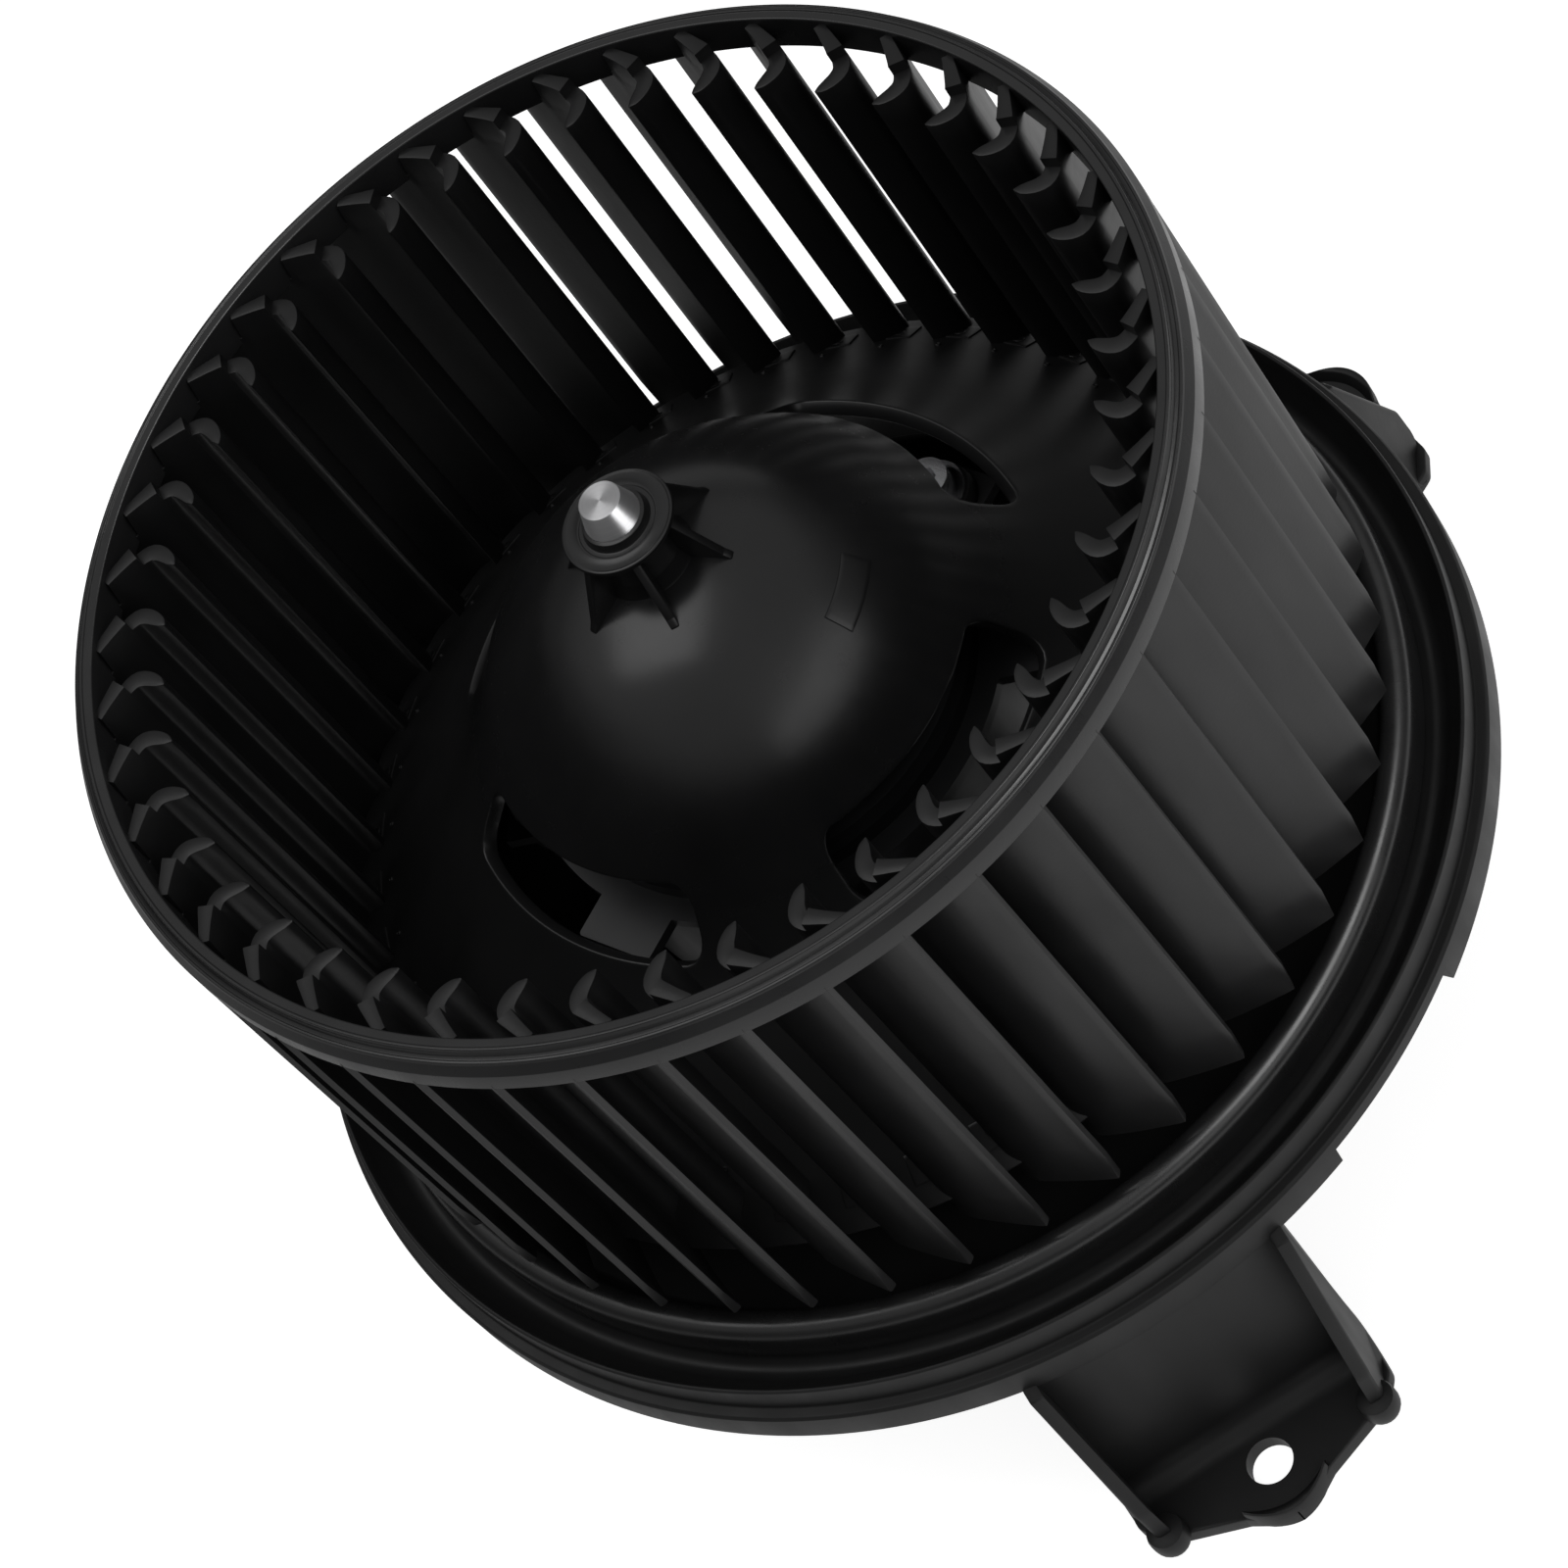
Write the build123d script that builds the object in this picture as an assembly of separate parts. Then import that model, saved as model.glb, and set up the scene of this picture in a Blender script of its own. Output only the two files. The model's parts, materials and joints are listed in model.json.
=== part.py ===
"""Blower motor wheel: squirrel cage wheel, drive motor and mounting flange.

Millimetres.  +Z is the wheel axis, open end up.  The origin is on the axis in
the plane of the undersides of the three mounting pads.  -Y points along the
front mounting arm.
"""
import math
import os

from build123d import *

# ---------------------------------------------------------------- wheel
BLADES = 44
BLADE_PHASE = -82.35
WHEEL_R = 75.1
RIM_TOP = 123.3
RIM_LOW = 117.3
RIM_INNER = 70.7
BLADE_TOP = 120.5
BLADE_LOW = 51.0
BLADE_TIP_R = 62.5
BLADE_LOW_R = 74.4
# centre line of a blade: radius, turn from the tip in degrees, thickness
BLADE_LINE = [
    (62.5, -0.15, 0.7),
    (63.6, -1.05, 1.7),
    (65.0, -1.8, 2.2),
    (66.3, -2.0, 2.4),
    (67.6, -1.4, 2.3),
    (69.2, 0.1, 2.0),
    (71.2, 1.9, 1.7),
    (73.2, 3.6, 1.4),
    (75.2, 5.2, 1.1),
]
# upper surface of the hub: radius, height
HUB_LINE = [
    (5.0, 111.4),
    (11.0, 110.2),
    (17.0, 107.6),
    (23.0, 103.0),
    (29.0, 96.6),
    (34.0, 89.4),
    (41.1, 80.9),
    (50.0, 72.6),
    (58.0, 65.5),
    (64.4, 60.4),
    (68.6, 57.2),
]
HUB_WALL = 2.2
BOSS_R = 5.7
BOSS_LOW = 97.0
COLLAR_R = 7.5
COLLAR_TOP = 119.6
HUB_RIBS = 6
HUB_RIB_PHASE = -36.0
WINDOWS = 4
WINDOW_PHASE = -62.0
WINDOW_HALF = 30.0
WINDOW_IN = 34.0
WINDOW_OUT = 41.1
PAD_R = 64.3

# ---------------------------------------------------------------- rotor
SHAFT_R = 3.6
SHAFT_TOP = 124.4
SHAFT_END_R = 2.75
SHAFT_TAPER = 3.5
SHAFT_LOW = 6.0
CORE_R = 22.2
CORE_LOW = 37.0
CORE_TOP = 63.0
SLOTS = 12
COMM_R = 9.6
COMM_LOW = 17.0
COMM_TOP = 28.0

# ---------------------------------------------------------------- motor
CAN_R = 30.0
CAN_WALL = 1.6
CAN_LOW = 12.0
CAN_TOP = 82.0
HUB_CUP_R = 9.4
HUB_CUP_TOP = 91.0
BEARING_R = 6.6
BEARING_BORE = 3.63
MAGNET_IN = 22.9
MAGNET_LOW = 34.0
MAGNET_TOP = 68.0
EAR_Z = 62.0
EAR_T = 1.6
EAR_PHASE = 34.0
POST_R = 37.5
TAB_PHASE = -146.0
TAB_TOP = 77.3
TAB_R = 38.7
SCREW_R = 2.0

# ---------------------------------------------------------------- flange
SKIRT_R = 84.2
SKIRT_LOW = 33.5
PILOT_R = 82.4
SKIRT_STEP = 36.6
STEP_HALF = 9.3
STEP_PHASE = -59.8
DECK_TOP = 42.0
DECK_T = 2.5
CUP_IN = 33.0
CUP_OUT = 35.5
CUP_LOW = 0.6
ARM_COUNT = 3
ARM_PHASE = -90.0
ARM_HALF = 19.5
ARM_CORNER_HALF = 17.2
ARM_TIP_R = 100.0
ARM_SHOULDER_R = 94.0
PAD_TOP = 2.6
BOLT_R = 91.3
BOLT_HOLE_R = 3.2
ARM_BEND = 3.4

OUT = "parts"


def polar(radius, turn):
    """Point at a radius and a turn in degrees."""
    angle = math.radians(turn)
    return (radius * math.cos(angle), radius * math.sin(angle))


def ring_of(shape, count, phase=0.0):
    """Copies of a shape spaced evenly round the axis."""
    return [Rot(0, 0, phase + 360.0 * i / count) * shape for i in range(count)]


def turned(points):
    """Solid of revolution about Z from a closed radius / height outline."""
    face = make_face(Plane.XZ * Polyline(*points, close=True))
    return revolve(face, Axis.Z, 360)


def tube(r_out, r_in, low, top):
    """Plain hollow cylinder."""
    height = top - low
    body = Pos(0, 0, low) * Cylinder(r_out, height, align=BASE)
    if r_in > 0:
        body -= Pos(0, 0, low - 1) * Cylinder(r_in, height + 2, align=BASE)
    return body


def block(x0, x1, y0, y1, z0, z1):
    """Box between limits."""
    size = Box(x1 - x0, y1 - y0, z1 - z0)
    return Pos((x0 + x1) / 2, (y0 + y1) / 2, (z0 + z1) / 2) * size


def sector(r_in, r_out, half, low, top, round_r=0.0):
    """Upright arc-shaped block centred on +X."""
    inner = [(*polar(r_in, -half), 0), (*polar(r_in, 0), 0), (*polar(r_in, half), 0)]
    outer = [(*polar(r_out, half), 0), (*polar(r_out, 0), 0), (*polar(r_out, -half), 0)]
    edges = [
        ThreePointArc(*inner),
        Line(inner[2], outer[0]),
        ThreePointArc(*outer),
        Line(outer[2], inner[0]),
    ]
    face = make_face(edges)
    body = Pos(0, 0, low) * extrude(face, top - low, dir=(0, 0, 1))
    if round_r > 0:
        body = fillet(body.edges().filter_by(Axis.Z), round_r)
    return body


def save(name, shape):
    """One STEP file per piece."""
    solids = list(shape.solids()) if hasattr(shape, "solids") else list(shape)
    whole = solids[0] if len(solids) == 1 else Compound(children=solids)
    export_step(whole, os.path.join(OUT, name + ".step"))
    print(name, len(solids), round(sum(s.volume for s in solids), 1))


BASE = (Align.CENTER, Align.CENTER, Align.MIN)


# ================================================================ wheel
def blade():
    """One forward-curved blade, crescent in section, with its free lower end."""
    front = []
    back = []
    line = [polar(r, t) for r, t, _ in BLADE_LINE]
    for i, (x, y) in enumerate(line):
        x0, y0 = line[max(i - 1, 0)]
        x1, y1 = line[min(i + 1, len(line) - 1)]
        run = math.hypot(x1 - x0, y1 - y0)
        half = BLADE_LINE[i][2] / 2
        nx = -(y1 - y0) / run * half
        ny = (x1 - x0) / run * half
        front.append((x + nx, y + ny, 0))
        back.append((x - nx, y - ny, 0))
    edges = [
        Spline(*front),
        Line(front[-1], back[-1]),
        Spline(*back[::-1]),
        Line(back[0], front[0]),
    ]
    body = Pos(0, 0, BLADE_LOW) * extrude(make_face(edges), BLADE_TOP - BLADE_LOW, dir=(0, 0, 1))
    shape = turned([
        (BLADE_TIP_R - 2, BLADE_TOP + 1),
        (BLADE_TIP_R - 2, 57.5),
        (66.0, BLADE_LOW - 0.3),
        (BLADE_LOW_R - 0.6, BLADE_LOW - 0.3),
        (BLADE_LOW_R, BLADE_LOW + 0.5),
        (BLADE_LOW_R + 0.3, BLADE_LOW + 4.0),
        (74.9, RIM_LOW - 20),
        (74.9, RIM_LOW + 0.4),
        (73.4, RIM_LOW + 1.0),
        (73.4, BLADE_TOP + 1),
    ])
    return body & shape


def hub():
    """Domed hub with boss, collar, gussets and cooling windows."""
    top = [(r, z) for r, z in HUB_LINE]
    low = []
    for i, (r, z) in enumerate(HUB_LINE):
        r0, z0 = HUB_LINE[max(i - 1, 0)]
        r1, z1 = HUB_LINE[min(i + 1, len(HUB_LINE) - 1)]
        run = math.hypot(r1 - r0, z1 - z0)
        low.append((r + (z1 - z0) / run * HUB_WALL, z - (r1 - r0) / run * HUB_WALL))
    low[0] = (HUB_LINE[0][0], HUB_LINE[0][1] - HUB_WALL)
    p3 = [(r, 0, z) for r, z in top]
    q3 = [(r, 0, z) for r, z in low[::-1]]
    edges = [Spline(*p3), Line(p3[-1], q3[0]), Spline(*q3), Line(q3[-1], p3[0])]
    shell = revolve(make_face(edges), Axis.Z, 360)
    boss = turned([
        (SHAFT_R, BOSS_LOW),
        (6.4, BOSS_LOW),
        (6.9, 109.5),
        (BOSS_R, 112.0),
        (BOSS_R, COLLAR_TOP - 1.0),
        (COLLAR_R, COLLAR_TOP - 0.9),
        (COLLAR_R, COLLAR_TOP),
        (SHAFT_R, COLLAR_TOP),
    ])
    web = make_face(Plane.XZ * Polyline(
        (BOSS_R - 0.6, 109.0), (11.8, 109.2), (10.9, 110.9), (COLLAR_R - 0.1, COLLAR_TOP - 0.9),
        (BOSS_R - 0.6, COLLAR_TOP - 0.9), close=True))
    gusset = extrude(web, 0.55, both=True)
    inner_web = make_face(Plane.XZ * Polyline(
        (5.5, 98.5), (7.0, 98.5), (20.0, 103.6), (16.0, 107.0), (5.5, 109.6), close=True))
    inner_rib = extrude(inner_web, 0.7, both=True)
    body = shell.fuse(boss, *ring_of(gusset, HUB_RIBS, HUB_RIB_PHASE),
                      *ring_of(inner_rib, HUB_RIBS, HUB_RIB_PHASE))
    window = sector(WINDOW_IN, WINDOW_OUT, WINDOW_HALF, 66.0, 100.0, 2.4)
    for cut in ring_of(window, WINDOWS, WINDOW_PHASE):
        body -= cut
    return body


def rim():
    """Top ring with two fine ridges."""
    return turned([
        (RIM_INNER, RIM_LOW),
        (71.2, RIM_TOP - 0.2),
        (71.4, RIM_TOP),
        (72.8, RIM_TOP),
        (73.0, RIM_TOP - 0.2),
        (73.2, RIM_TOP - 0.9),
        (73.7, RIM_TOP - 1.1),
        (74.1, RIM_TOP - 1.0),
        (74.3, RIM_TOP - 1.3),
        (WHEEL_R, BLADE_TOP),
        (WHEEL_R, RIM_LOW),
    ])


def blower_wheel():
    blades = ring_of(blade(), BLADES, BLADE_PHASE)
    pad = Pos(*polar(PAD_R, -0.4), 58.2) * Cylinder(1.1, 2.9, align=BASE)
    pads = ring_of(pad, BLADES, BLADE_PHASE)
    return rim().fuse(hub(), *blades, *pads)


# ================================================================ rotor
def motor_shaft():
    return turned([
        (0, SHAFT_LOW),
        (SHAFT_R - 0.5, SHAFT_LOW),
        (SHAFT_R, SHAFT_LOW + 0.5),
        (SHAFT_R, SHAFT_TOP - SHAFT_TAPER),
        (SHAFT_END_R, SHAFT_TOP),
        (0, SHAFT_TOP),
    ])


def armature_core():
    """Laminated stack with semi-closed slots."""
    body = tube(CORE_R, SHAFT_R, CORE_LOW, CORE_TOP)
    height = CORE_TOP - CORE_LOW + 2
    mouth = block(CORE_R - 2.0, CORE_R + 1, -1.0, 1.0, CORE_LOW - 1, CORE_TOP + 1)
    well = sector(11.0, CORE_R - 1.5, 9.5, CORE_LOW - 1, CORE_LOW - 1 + height, 1.2)
    for cut in ring_of(mouth.fuse(well), SLOTS):
        body -= cut
    return body


def armature_windings():
    """Coils in the slots joined by the end turns."""
    low = tube(20.2, 11.4, CORE_LOW - 6.5, CORE_LOW - 0.2)
    top = tube(20.2, 11.4, CORE_TOP + 0.2, CORE_TOP + 6.5)
    low = fillet(low.edges().sort_by(Axis.Z)[:2], 1.8)
    top = fillet(top.edges().sort_by(Axis.Z)[-2:], 1.8)
    leg = sector(11.6, CORE_R - 2.1, 8.0, CORE_LOW - 1.5, CORE_TOP + 1.5, 0.8)
    return low.fuse(top, *ring_of(leg, SLOTS))


def commutator_hub():
    return tube(COMM_R - 2.2, SHAFT_R, COMM_LOW - 0.6, COMM_TOP + 0.6)


def commutator_bars():
    """Copper segments, each with a riser tang."""
    bar = sector(COMM_R - 2.2, COMM_R, 14.0, COMM_LOW, COMM_TOP)
    tang = block(COMM_R - 1.4, COMM_R + 2.0, -1.0, 1.0, COMM_TOP - 1.8, COMM_TOP - 0.4)
    return ring_of(bar.fuse(tang), SLOTS, 15)


def thrust_washers():
    """Thin fibre washers beside each bearing."""
    lows = (10.7, 11.3, 83.0, 83.6)
    return [tube(4.3, SHAFT_R, z, z + 0.5) for z in lows]


def shaft_spacers():
    """Sleeves that hold the washers off the core and the commutator."""
    return [tube(5.0, SHAFT_R, CORE_TOP, 82.9), tube(5.0, SHAFT_R, 11.9, COMM_LOW - 0.6)]


# ================================================================ motor
def motor_can():
    """Deep-drawn steel yoke with a bearing cup in its closed end."""
    inner = CAN_R - CAN_WALL
    body = turned([
        (inner, CAN_LOW),
        (CAN_R, CAN_LOW),
        (CAN_R, CAN_TOP - 2.4),
        (CAN_R - 0.8, CAN_TOP - 0.8),
        (CAN_R - 2.4, CAN_TOP),
        (HUB_CUP_R + 1.0, CAN_TOP),
        (HUB_CUP_R, CAN_TOP + 1.0),
        (HUB_CUP_R, HUB_CUP_TOP - 1.0),
        (HUB_CUP_R - 1.0, HUB_CUP_TOP),
        (4.6, HUB_CUP_TOP),
        (4.6, HUB_CUP_TOP - CAN_WALL),
        (HUB_CUP_R - CAN_WALL, HUB_CUP_TOP - CAN_WALL),
        (HUB_CUP_R - CAN_WALL, CAN_TOP - CAN_WALL),
        (inner - 1.0, CAN_TOP - CAN_WALL),
        (inner, CAN_TOP - CAN_WALL - 1.0),
    ])
    vent = sector(15.0, 23.0, 18.0, CAN_TOP - 4, CAN_TOP + 4, 1.5)
    for cut in ring_of(vent, 4, 45):
        body -= cut
    return body


def ferrite_magnets():
    arc = sector(MAGNET_IN, CAN_R - CAN_WALL, 66.0, MAGNET_LOW, MAGNET_TOP, 0.5)
    return ring_of(arc, 2)


def magnet_springs():
    """Bowed steel clips that spread the two magnets apart."""
    clip = sector(26.4, 27.2, 15.0, MAGNET_LOW + 2, MAGNET_TOP - 2)
    ends = [sector(23.8, 27.2, 0.8, MAGNET_LOW + 2, MAGNET_TOP - 2)]
    feet = [Rot(0, 0, a) * ends[0] for a in (-14.6, 14.6)]
    return ring_of(clip.fuse(*feet), 2, 90)


def bearing(low, top):
    mid = (low + top) / 2
    half = (top - low) / 2
    return turned([
        (BEARING_BORE, low),
        (BEARING_R - 1.2, low),
        (BEARING_R - 0.3, mid - half * 0.5),
        (BEARING_R, mid),
        (BEARING_R - 0.3, mid + half * 0.5),
        (BEARING_R - 1.2, top),
        (BEARING_BORE, top),
    ])


def retainer(z_ring, z_finger):
    """Dished spring plate whose fingers press on the bearing."""
    cup_in = HUB_CUP_R - CAN_WALL
    step = 0.25
    plate = turned([
        (cup_in, z_ring - step),
        (cup_in, z_ring + step),
        (cup_in - 1.0, z_ring + step),
        (5.6, z_finger + step),
        (4.6, z_finger + step),
        (4.6, z_finger - step),
        (5.6, z_finger - step),
        (cup_in - 1.0, z_ring - step),
    ])
    gap = block(4.0, cup_in - 1.0, -0.5, 0.5, z_ring - 4, z_ring + 4)
    for cut in ring_of(gap, 8, 22.5):
        plate -= cut
    return plate


def oil_felts():
    """Felt rings that keep the bearings oiled."""
    cup_in = HUB_CUP_R - CAN_WALL
    return [tube(cup_in, BEARING_R + 0.02, z, z + 2.8) for z in (6.4, 85.5)]


def end_plate():
    """Pressed steel plate closing the can, with the lower bearing cup."""
    inner = HUB_CUP_R - CAN_WALL
    body = turned([
        (inner, CAN_LOW),
        (CAN_R + 1.2, CAN_LOW),
        (CAN_R + 1.2, CAN_LOW - 1.6),
        (HUB_CUP_R, CAN_LOW - 1.6),
        (HUB_CUP_R, 4.6),
        (HUB_CUP_R - 0.8, 3.8),
        (0, 3.8),
        (0, 5.2),
        (inner, 5.2),
    ])
    slot = block(20.2, 23.8, -5.6, 5.6, 8, 14)
    body -= Rot(0, 0, 90) * slot
    vent = sector(14.0, 22.0, 14.0, 8, 14, 1.5)
    for cut in ring_of(vent, 2, 0):
        body -= cut
    return body


def brush_card():
    """Moulded plate that carries the brush gear."""
    body = tube(CAN_R - CAN_WALL - 0.2, 12.6, CAN_LOW, CAN_LOW + 2.0)
    body -= Rot(0, 0, 90) * block(20.4, 23.6, -5.4, 5.4, 10, 16)
    wall = block(24.0, 26.0, -5.5, 5.5, CAN_LOW + 1.0, CAN_LOW + 12)
    shelf = block(12.9, 26.0, -5.5, 5.5, CAN_LOW + 1.0, CAN_LOW + 4.0)
    cradle = block(13.2, 25.0, -1.0, 1.0, CAN_LOW + 1.0, CAN_LOW + 4.1)
    parts = ring_of(wall.fuse(shelf), 2) + [Rot(0, 0, a) * cradle for a in (52, 128)]
    return body.fuse(*parts)


def brush_boxes():
    outer = block(11.4, 23.8, -4.4, 4.4, CAN_LOW + 4.0, CAN_LOW + 12)
    inner = block(11.0, 24.2, -3.8, 3.8, CAN_LOW + 4.6, CAN_LOW + 11.4)
    slit = block(14.0, 22.0, 3.0, 5.0, CAN_LOW + 7.2, CAN_LOW + 8.8)
    return ring_of(outer - inner - slit, 2)


def carbon_brushes():
    """Carbon blocks hollowed to the commutator."""
    body = block(9.0, 18.0, -3.7, 3.7, CAN_LOW + 4.7, CAN_LOW + 11.3)
    body -= Pos(0, 0, CAN_LOW) * Cylinder(COMM_R + 0.05, 16, align=BASE)
    stud = Pos(18.0, 0, CAN_LOW + 8) * Rot(0, 90, 0) * Cylinder(1.2, 1.2, align=BASE)
    return ring_of(body.fuse(stud), 2)


def brush_springs():
    """Compression coils behind the brushes."""
    turns = 4
    length = 4.6
    path = Helix(length / turns, length, 2.2)
    start = path @ 0
    wire = Circle(0.28)
    coil = sweep(Plane(origin=start, z_dir=path % 0) * wire, path=path, is_frenet=True)
    placed = Pos(18.7, 0, CAN_LOW + 8) * Rot(0, 90, 0) * coil
    return ring_of(placed, 2)


def choke_cores():
    core = Pos(13.4, 0, CAN_LOW + 6.6) * Rot(0, 90, 0) * Cylinder(1.7, 11.2, align=BASE)
    return [Rot(0, 0, a) * core for a in (52, 128)]


def choke_coils():
    """Close-wound enamelled wire on the choke cores."""
    points = [(1.7, 14.6)]
    z = 14.6
    for _ in range(8):
        points += [(2.3, z + 0.15), (2.5, z + 0.5), (2.3, z + 0.85), (2.1, z + 1.0)]
        z += 1.0
    points += [(1.7, z)]
    body = turned(points)
    laid = Pos(0, 0, CAN_LOW + 6.6) * Rot(0, 90, 0) * body
    return [Rot(0, 0, a) * laid for a in (52, 128)]


def terminal_blades():
    """Bent brass blades from the brush gear to the connector."""
    found = []
    for side in (-3.3, 3.3):
        post = block(21.6, 22.4, side - 1.5, side + 1.5, 8.4, CAN_LOW + 2.8)
        run = block(21.6, 49.5, side - 1.5, side + 1.5, 8.4, 9.2)
        foot = block(21.6, 26.2, side - 1.5, side + 1.5, CAN_LOW + 2.0, CAN_LOW + 2.8)
        found.append(Rot(0, 0, 90) * post.fuse(run, foot))
    return found


def connector_housing():
    """Two-way socket through the side of the motor cup."""
    shell = block(31.6, 52.0, -8.2, 8.2, CUP_LOW + 2.4, 15.0)
    mouth = block(38.0, 53.0, -6.8, 6.8, 4.4, 13.6)
    body = shell - mouth
    collar = block(36.2, 37.8, -9.8, 9.8, 1.4, 16.6)
    latch = block(42.0, 46.0, -2.5, 2.5, 14.8, 16.2)
    body = body.fuse(collar, latch)
    for side in (-3.3, 3.3):
        body -= block(30.0, 40.0, side - 1.5, side + 1.5, 8.4, 9.2)
    return Rot(0, 0, 90) * body


def motor_bracket():
    """Steel band round the can with three fixing ears and three top tabs."""
    band = tube(CAN_R + 1.5, CAN_R, EAR_Z - 7.0, TAB_TOP)
    band = band.fuse(tube(CAN_R + 3.2, CAN_R, TAB_TOP - EAR_T, TAB_TOP))
    ear = block(CAN_R + 0.6, POST_R + 5.5, -6.0, 6.0, EAR_Z, EAR_Z + EAR_T)
    ear -= Pos(POST_R, 0, EAR_Z - 1) * Cylinder(3.3, 5, align=BASE)
    tab = block(CAN_R + 0.6, TAB_R, -5.75, 5.75, TAB_TOP - EAR_T, TAB_TOP)
    tab = fillet(tab.edges().filter_by(Axis.Z), 0.6)
    return band.fuse(*ring_of(ear, 3, EAR_PHASE), *ring_of(tab, 3, TAB_PHASE))


def rubber_grommets():
    spool = turned([
        (SCREW_R + 0.1, EAR_Z - 4.0),
        (5.2, EAR_Z - 4.0),
        (5.2, EAR_Z),
        (3.3, EAR_Z),
        (3.3, EAR_Z + EAR_T),
        (5.2, EAR_Z + EAR_T),
        (4.8, EAR_Z + EAR_T + 2.4),
        (SCREW_R + 0.1, EAR_Z + EAR_T + 2.4),
    ])
    return ring_of(Pos(POST_R, 0, 0) * spool, 3, EAR_PHASE)


def bracket_screws():
    """Washer-head screws through the grommets."""
    seat = EAR_Z + EAR_T + 2.4
    shank = Pos(0, 0, 42) * Cylinder(SCREW_R, seat + 0.5 - 42, align=BASE)
    washer = Pos(0, 0, seat) * Cylinder(4.4, 0.9, align=BASE)
    head = Pos(0, 0, seat) * Cylinder(3.2, 3.6, align=BASE)
    socket = Pos(0, 0, seat + 1.8) * extrude(RegularPolygon(1.7, 6), 3)
    screw = shank.fuse(washer, head) - socket
    return ring_of(Pos(POST_R, 0, 0) * screw, 3, EAR_PHASE)


def rubber_sleeve():
    """Ribbed damping ring between the can and the motor cup."""
    body = tube(CUP_IN - 0.8, CAN_R, 18.0, 30.0)
    rib = tube(CUP_IN, CUP_IN - 1.0, 20.0, 21.6)
    rib2 = tube(CUP_IN, CUP_IN - 1.0, 26.0, 27.6)
    return body.fuse(rib, rib2)


# ================================================================ flange
def arm():
    """Hanging channel arm with a bent-out pad, centred on +X."""
    plane = Plane.XZ
    wall_out = SKIRT_R
    wall_in = SKIRT_R - 2.6
    centre = (wall_out + ARM_BEND, PAD_TOP + ARM_BEND)
    mid = (centre[0] - ARM_BEND * math.cos(math.radians(45)),
           centre[1] - ARM_BEND * math.sin(math.radians(45)))
    low = ARM_BEND + PAD_TOP
    mid2 = (centre[0] - low * math.cos(math.radians(45)),
            centre[1] - low * math.sin(math.radians(45)))
    tip = ARM_TIP_R + 2
    edges = [
        Line((wall_in, 0, 38.5), (wall_out, 0, 38.5)),
        Line((wall_out, 0, 38.5), (wall_out, 0, centre[1])),
        ThreePointArc((wall_out, 0, centre[1]), (mid[0], 0, mid[1]), (centre[0], 0, PAD_TOP)),
        Line((centre[0], 0, PAD_TOP), (tip, 0, PAD_TOP)),
        Line((tip, 0, PAD_TOP), (tip, 0, 0)),
        Line((tip, 0, 0), (centre[0], 0, 0)),
        ThreePointArc((centre[0], 0, 0), (mid2[0], 0, mid2[1]), (wall_in, 0, centre[1])),
        Line((wall_in, 0, centre[1]), (wall_in, 0, 38.5)),
    ]
    strip = extrude(make_face(edges), ARM_HALF, both=True)
    side_face = make_face(plane * Polyline(
        (wall_in, 38.5), (wall_out, 36.0), (ARM_SHOULDER_R + 1.0, 9.5),
        (ARM_SHOULDER_R + 1.0, 1.6), (ARM_SHOULDER_R - 0.6, -0.0), (ARM_SHOULDER_R - 4.0, 0.0),
        (wall_in + 2.0, 7.0), (wall_in, 14.0), close=True))
    side = extrude(side_face, 1.25, both=True)
    walls = [Pos(0, s * (ARM_HALF - 1.35), 0) * side for s in (-1, 1)]
    outline = make_face(Polyline(
        (wall_in - 3, -ARM_HALF, 0), (ARM_SHOULDER_R - 4.4, -ARM_HALF, 0),
        (ARM_SHOULDER_R - 1.4, -ARM_CORNER_HALF, 0), (ARM_TIP_R - 2.6, -7.3, 0),
        (ARM_TIP_R, -3.8, 0), (ARM_TIP_R, 3.8, 0), (ARM_TIP_R - 2.6, 7.3, 0),
        (ARM_SHOULDER_R - 1.4, ARM_CORNER_HALF, 0), (ARM_SHOULDER_R - 4.4, ARM_HALF, 0),
        (wall_in - 3, ARM_HALF, 0), close=True))
    keep = Pos(0, 0, -2) * extrude(outline, 44, dir=(0, 0, 1))
    lip = sector(95.8, ARM_TIP_R - 0.1, 3.4, 0.2, 4.2)
    body = strip.fuse(*walls, lip) & keep
    body -= Pos(BOLT_R, 0, -2) * Cylinder(BOLT_HOLE_R, 10, align=BASE)
    return body


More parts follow.
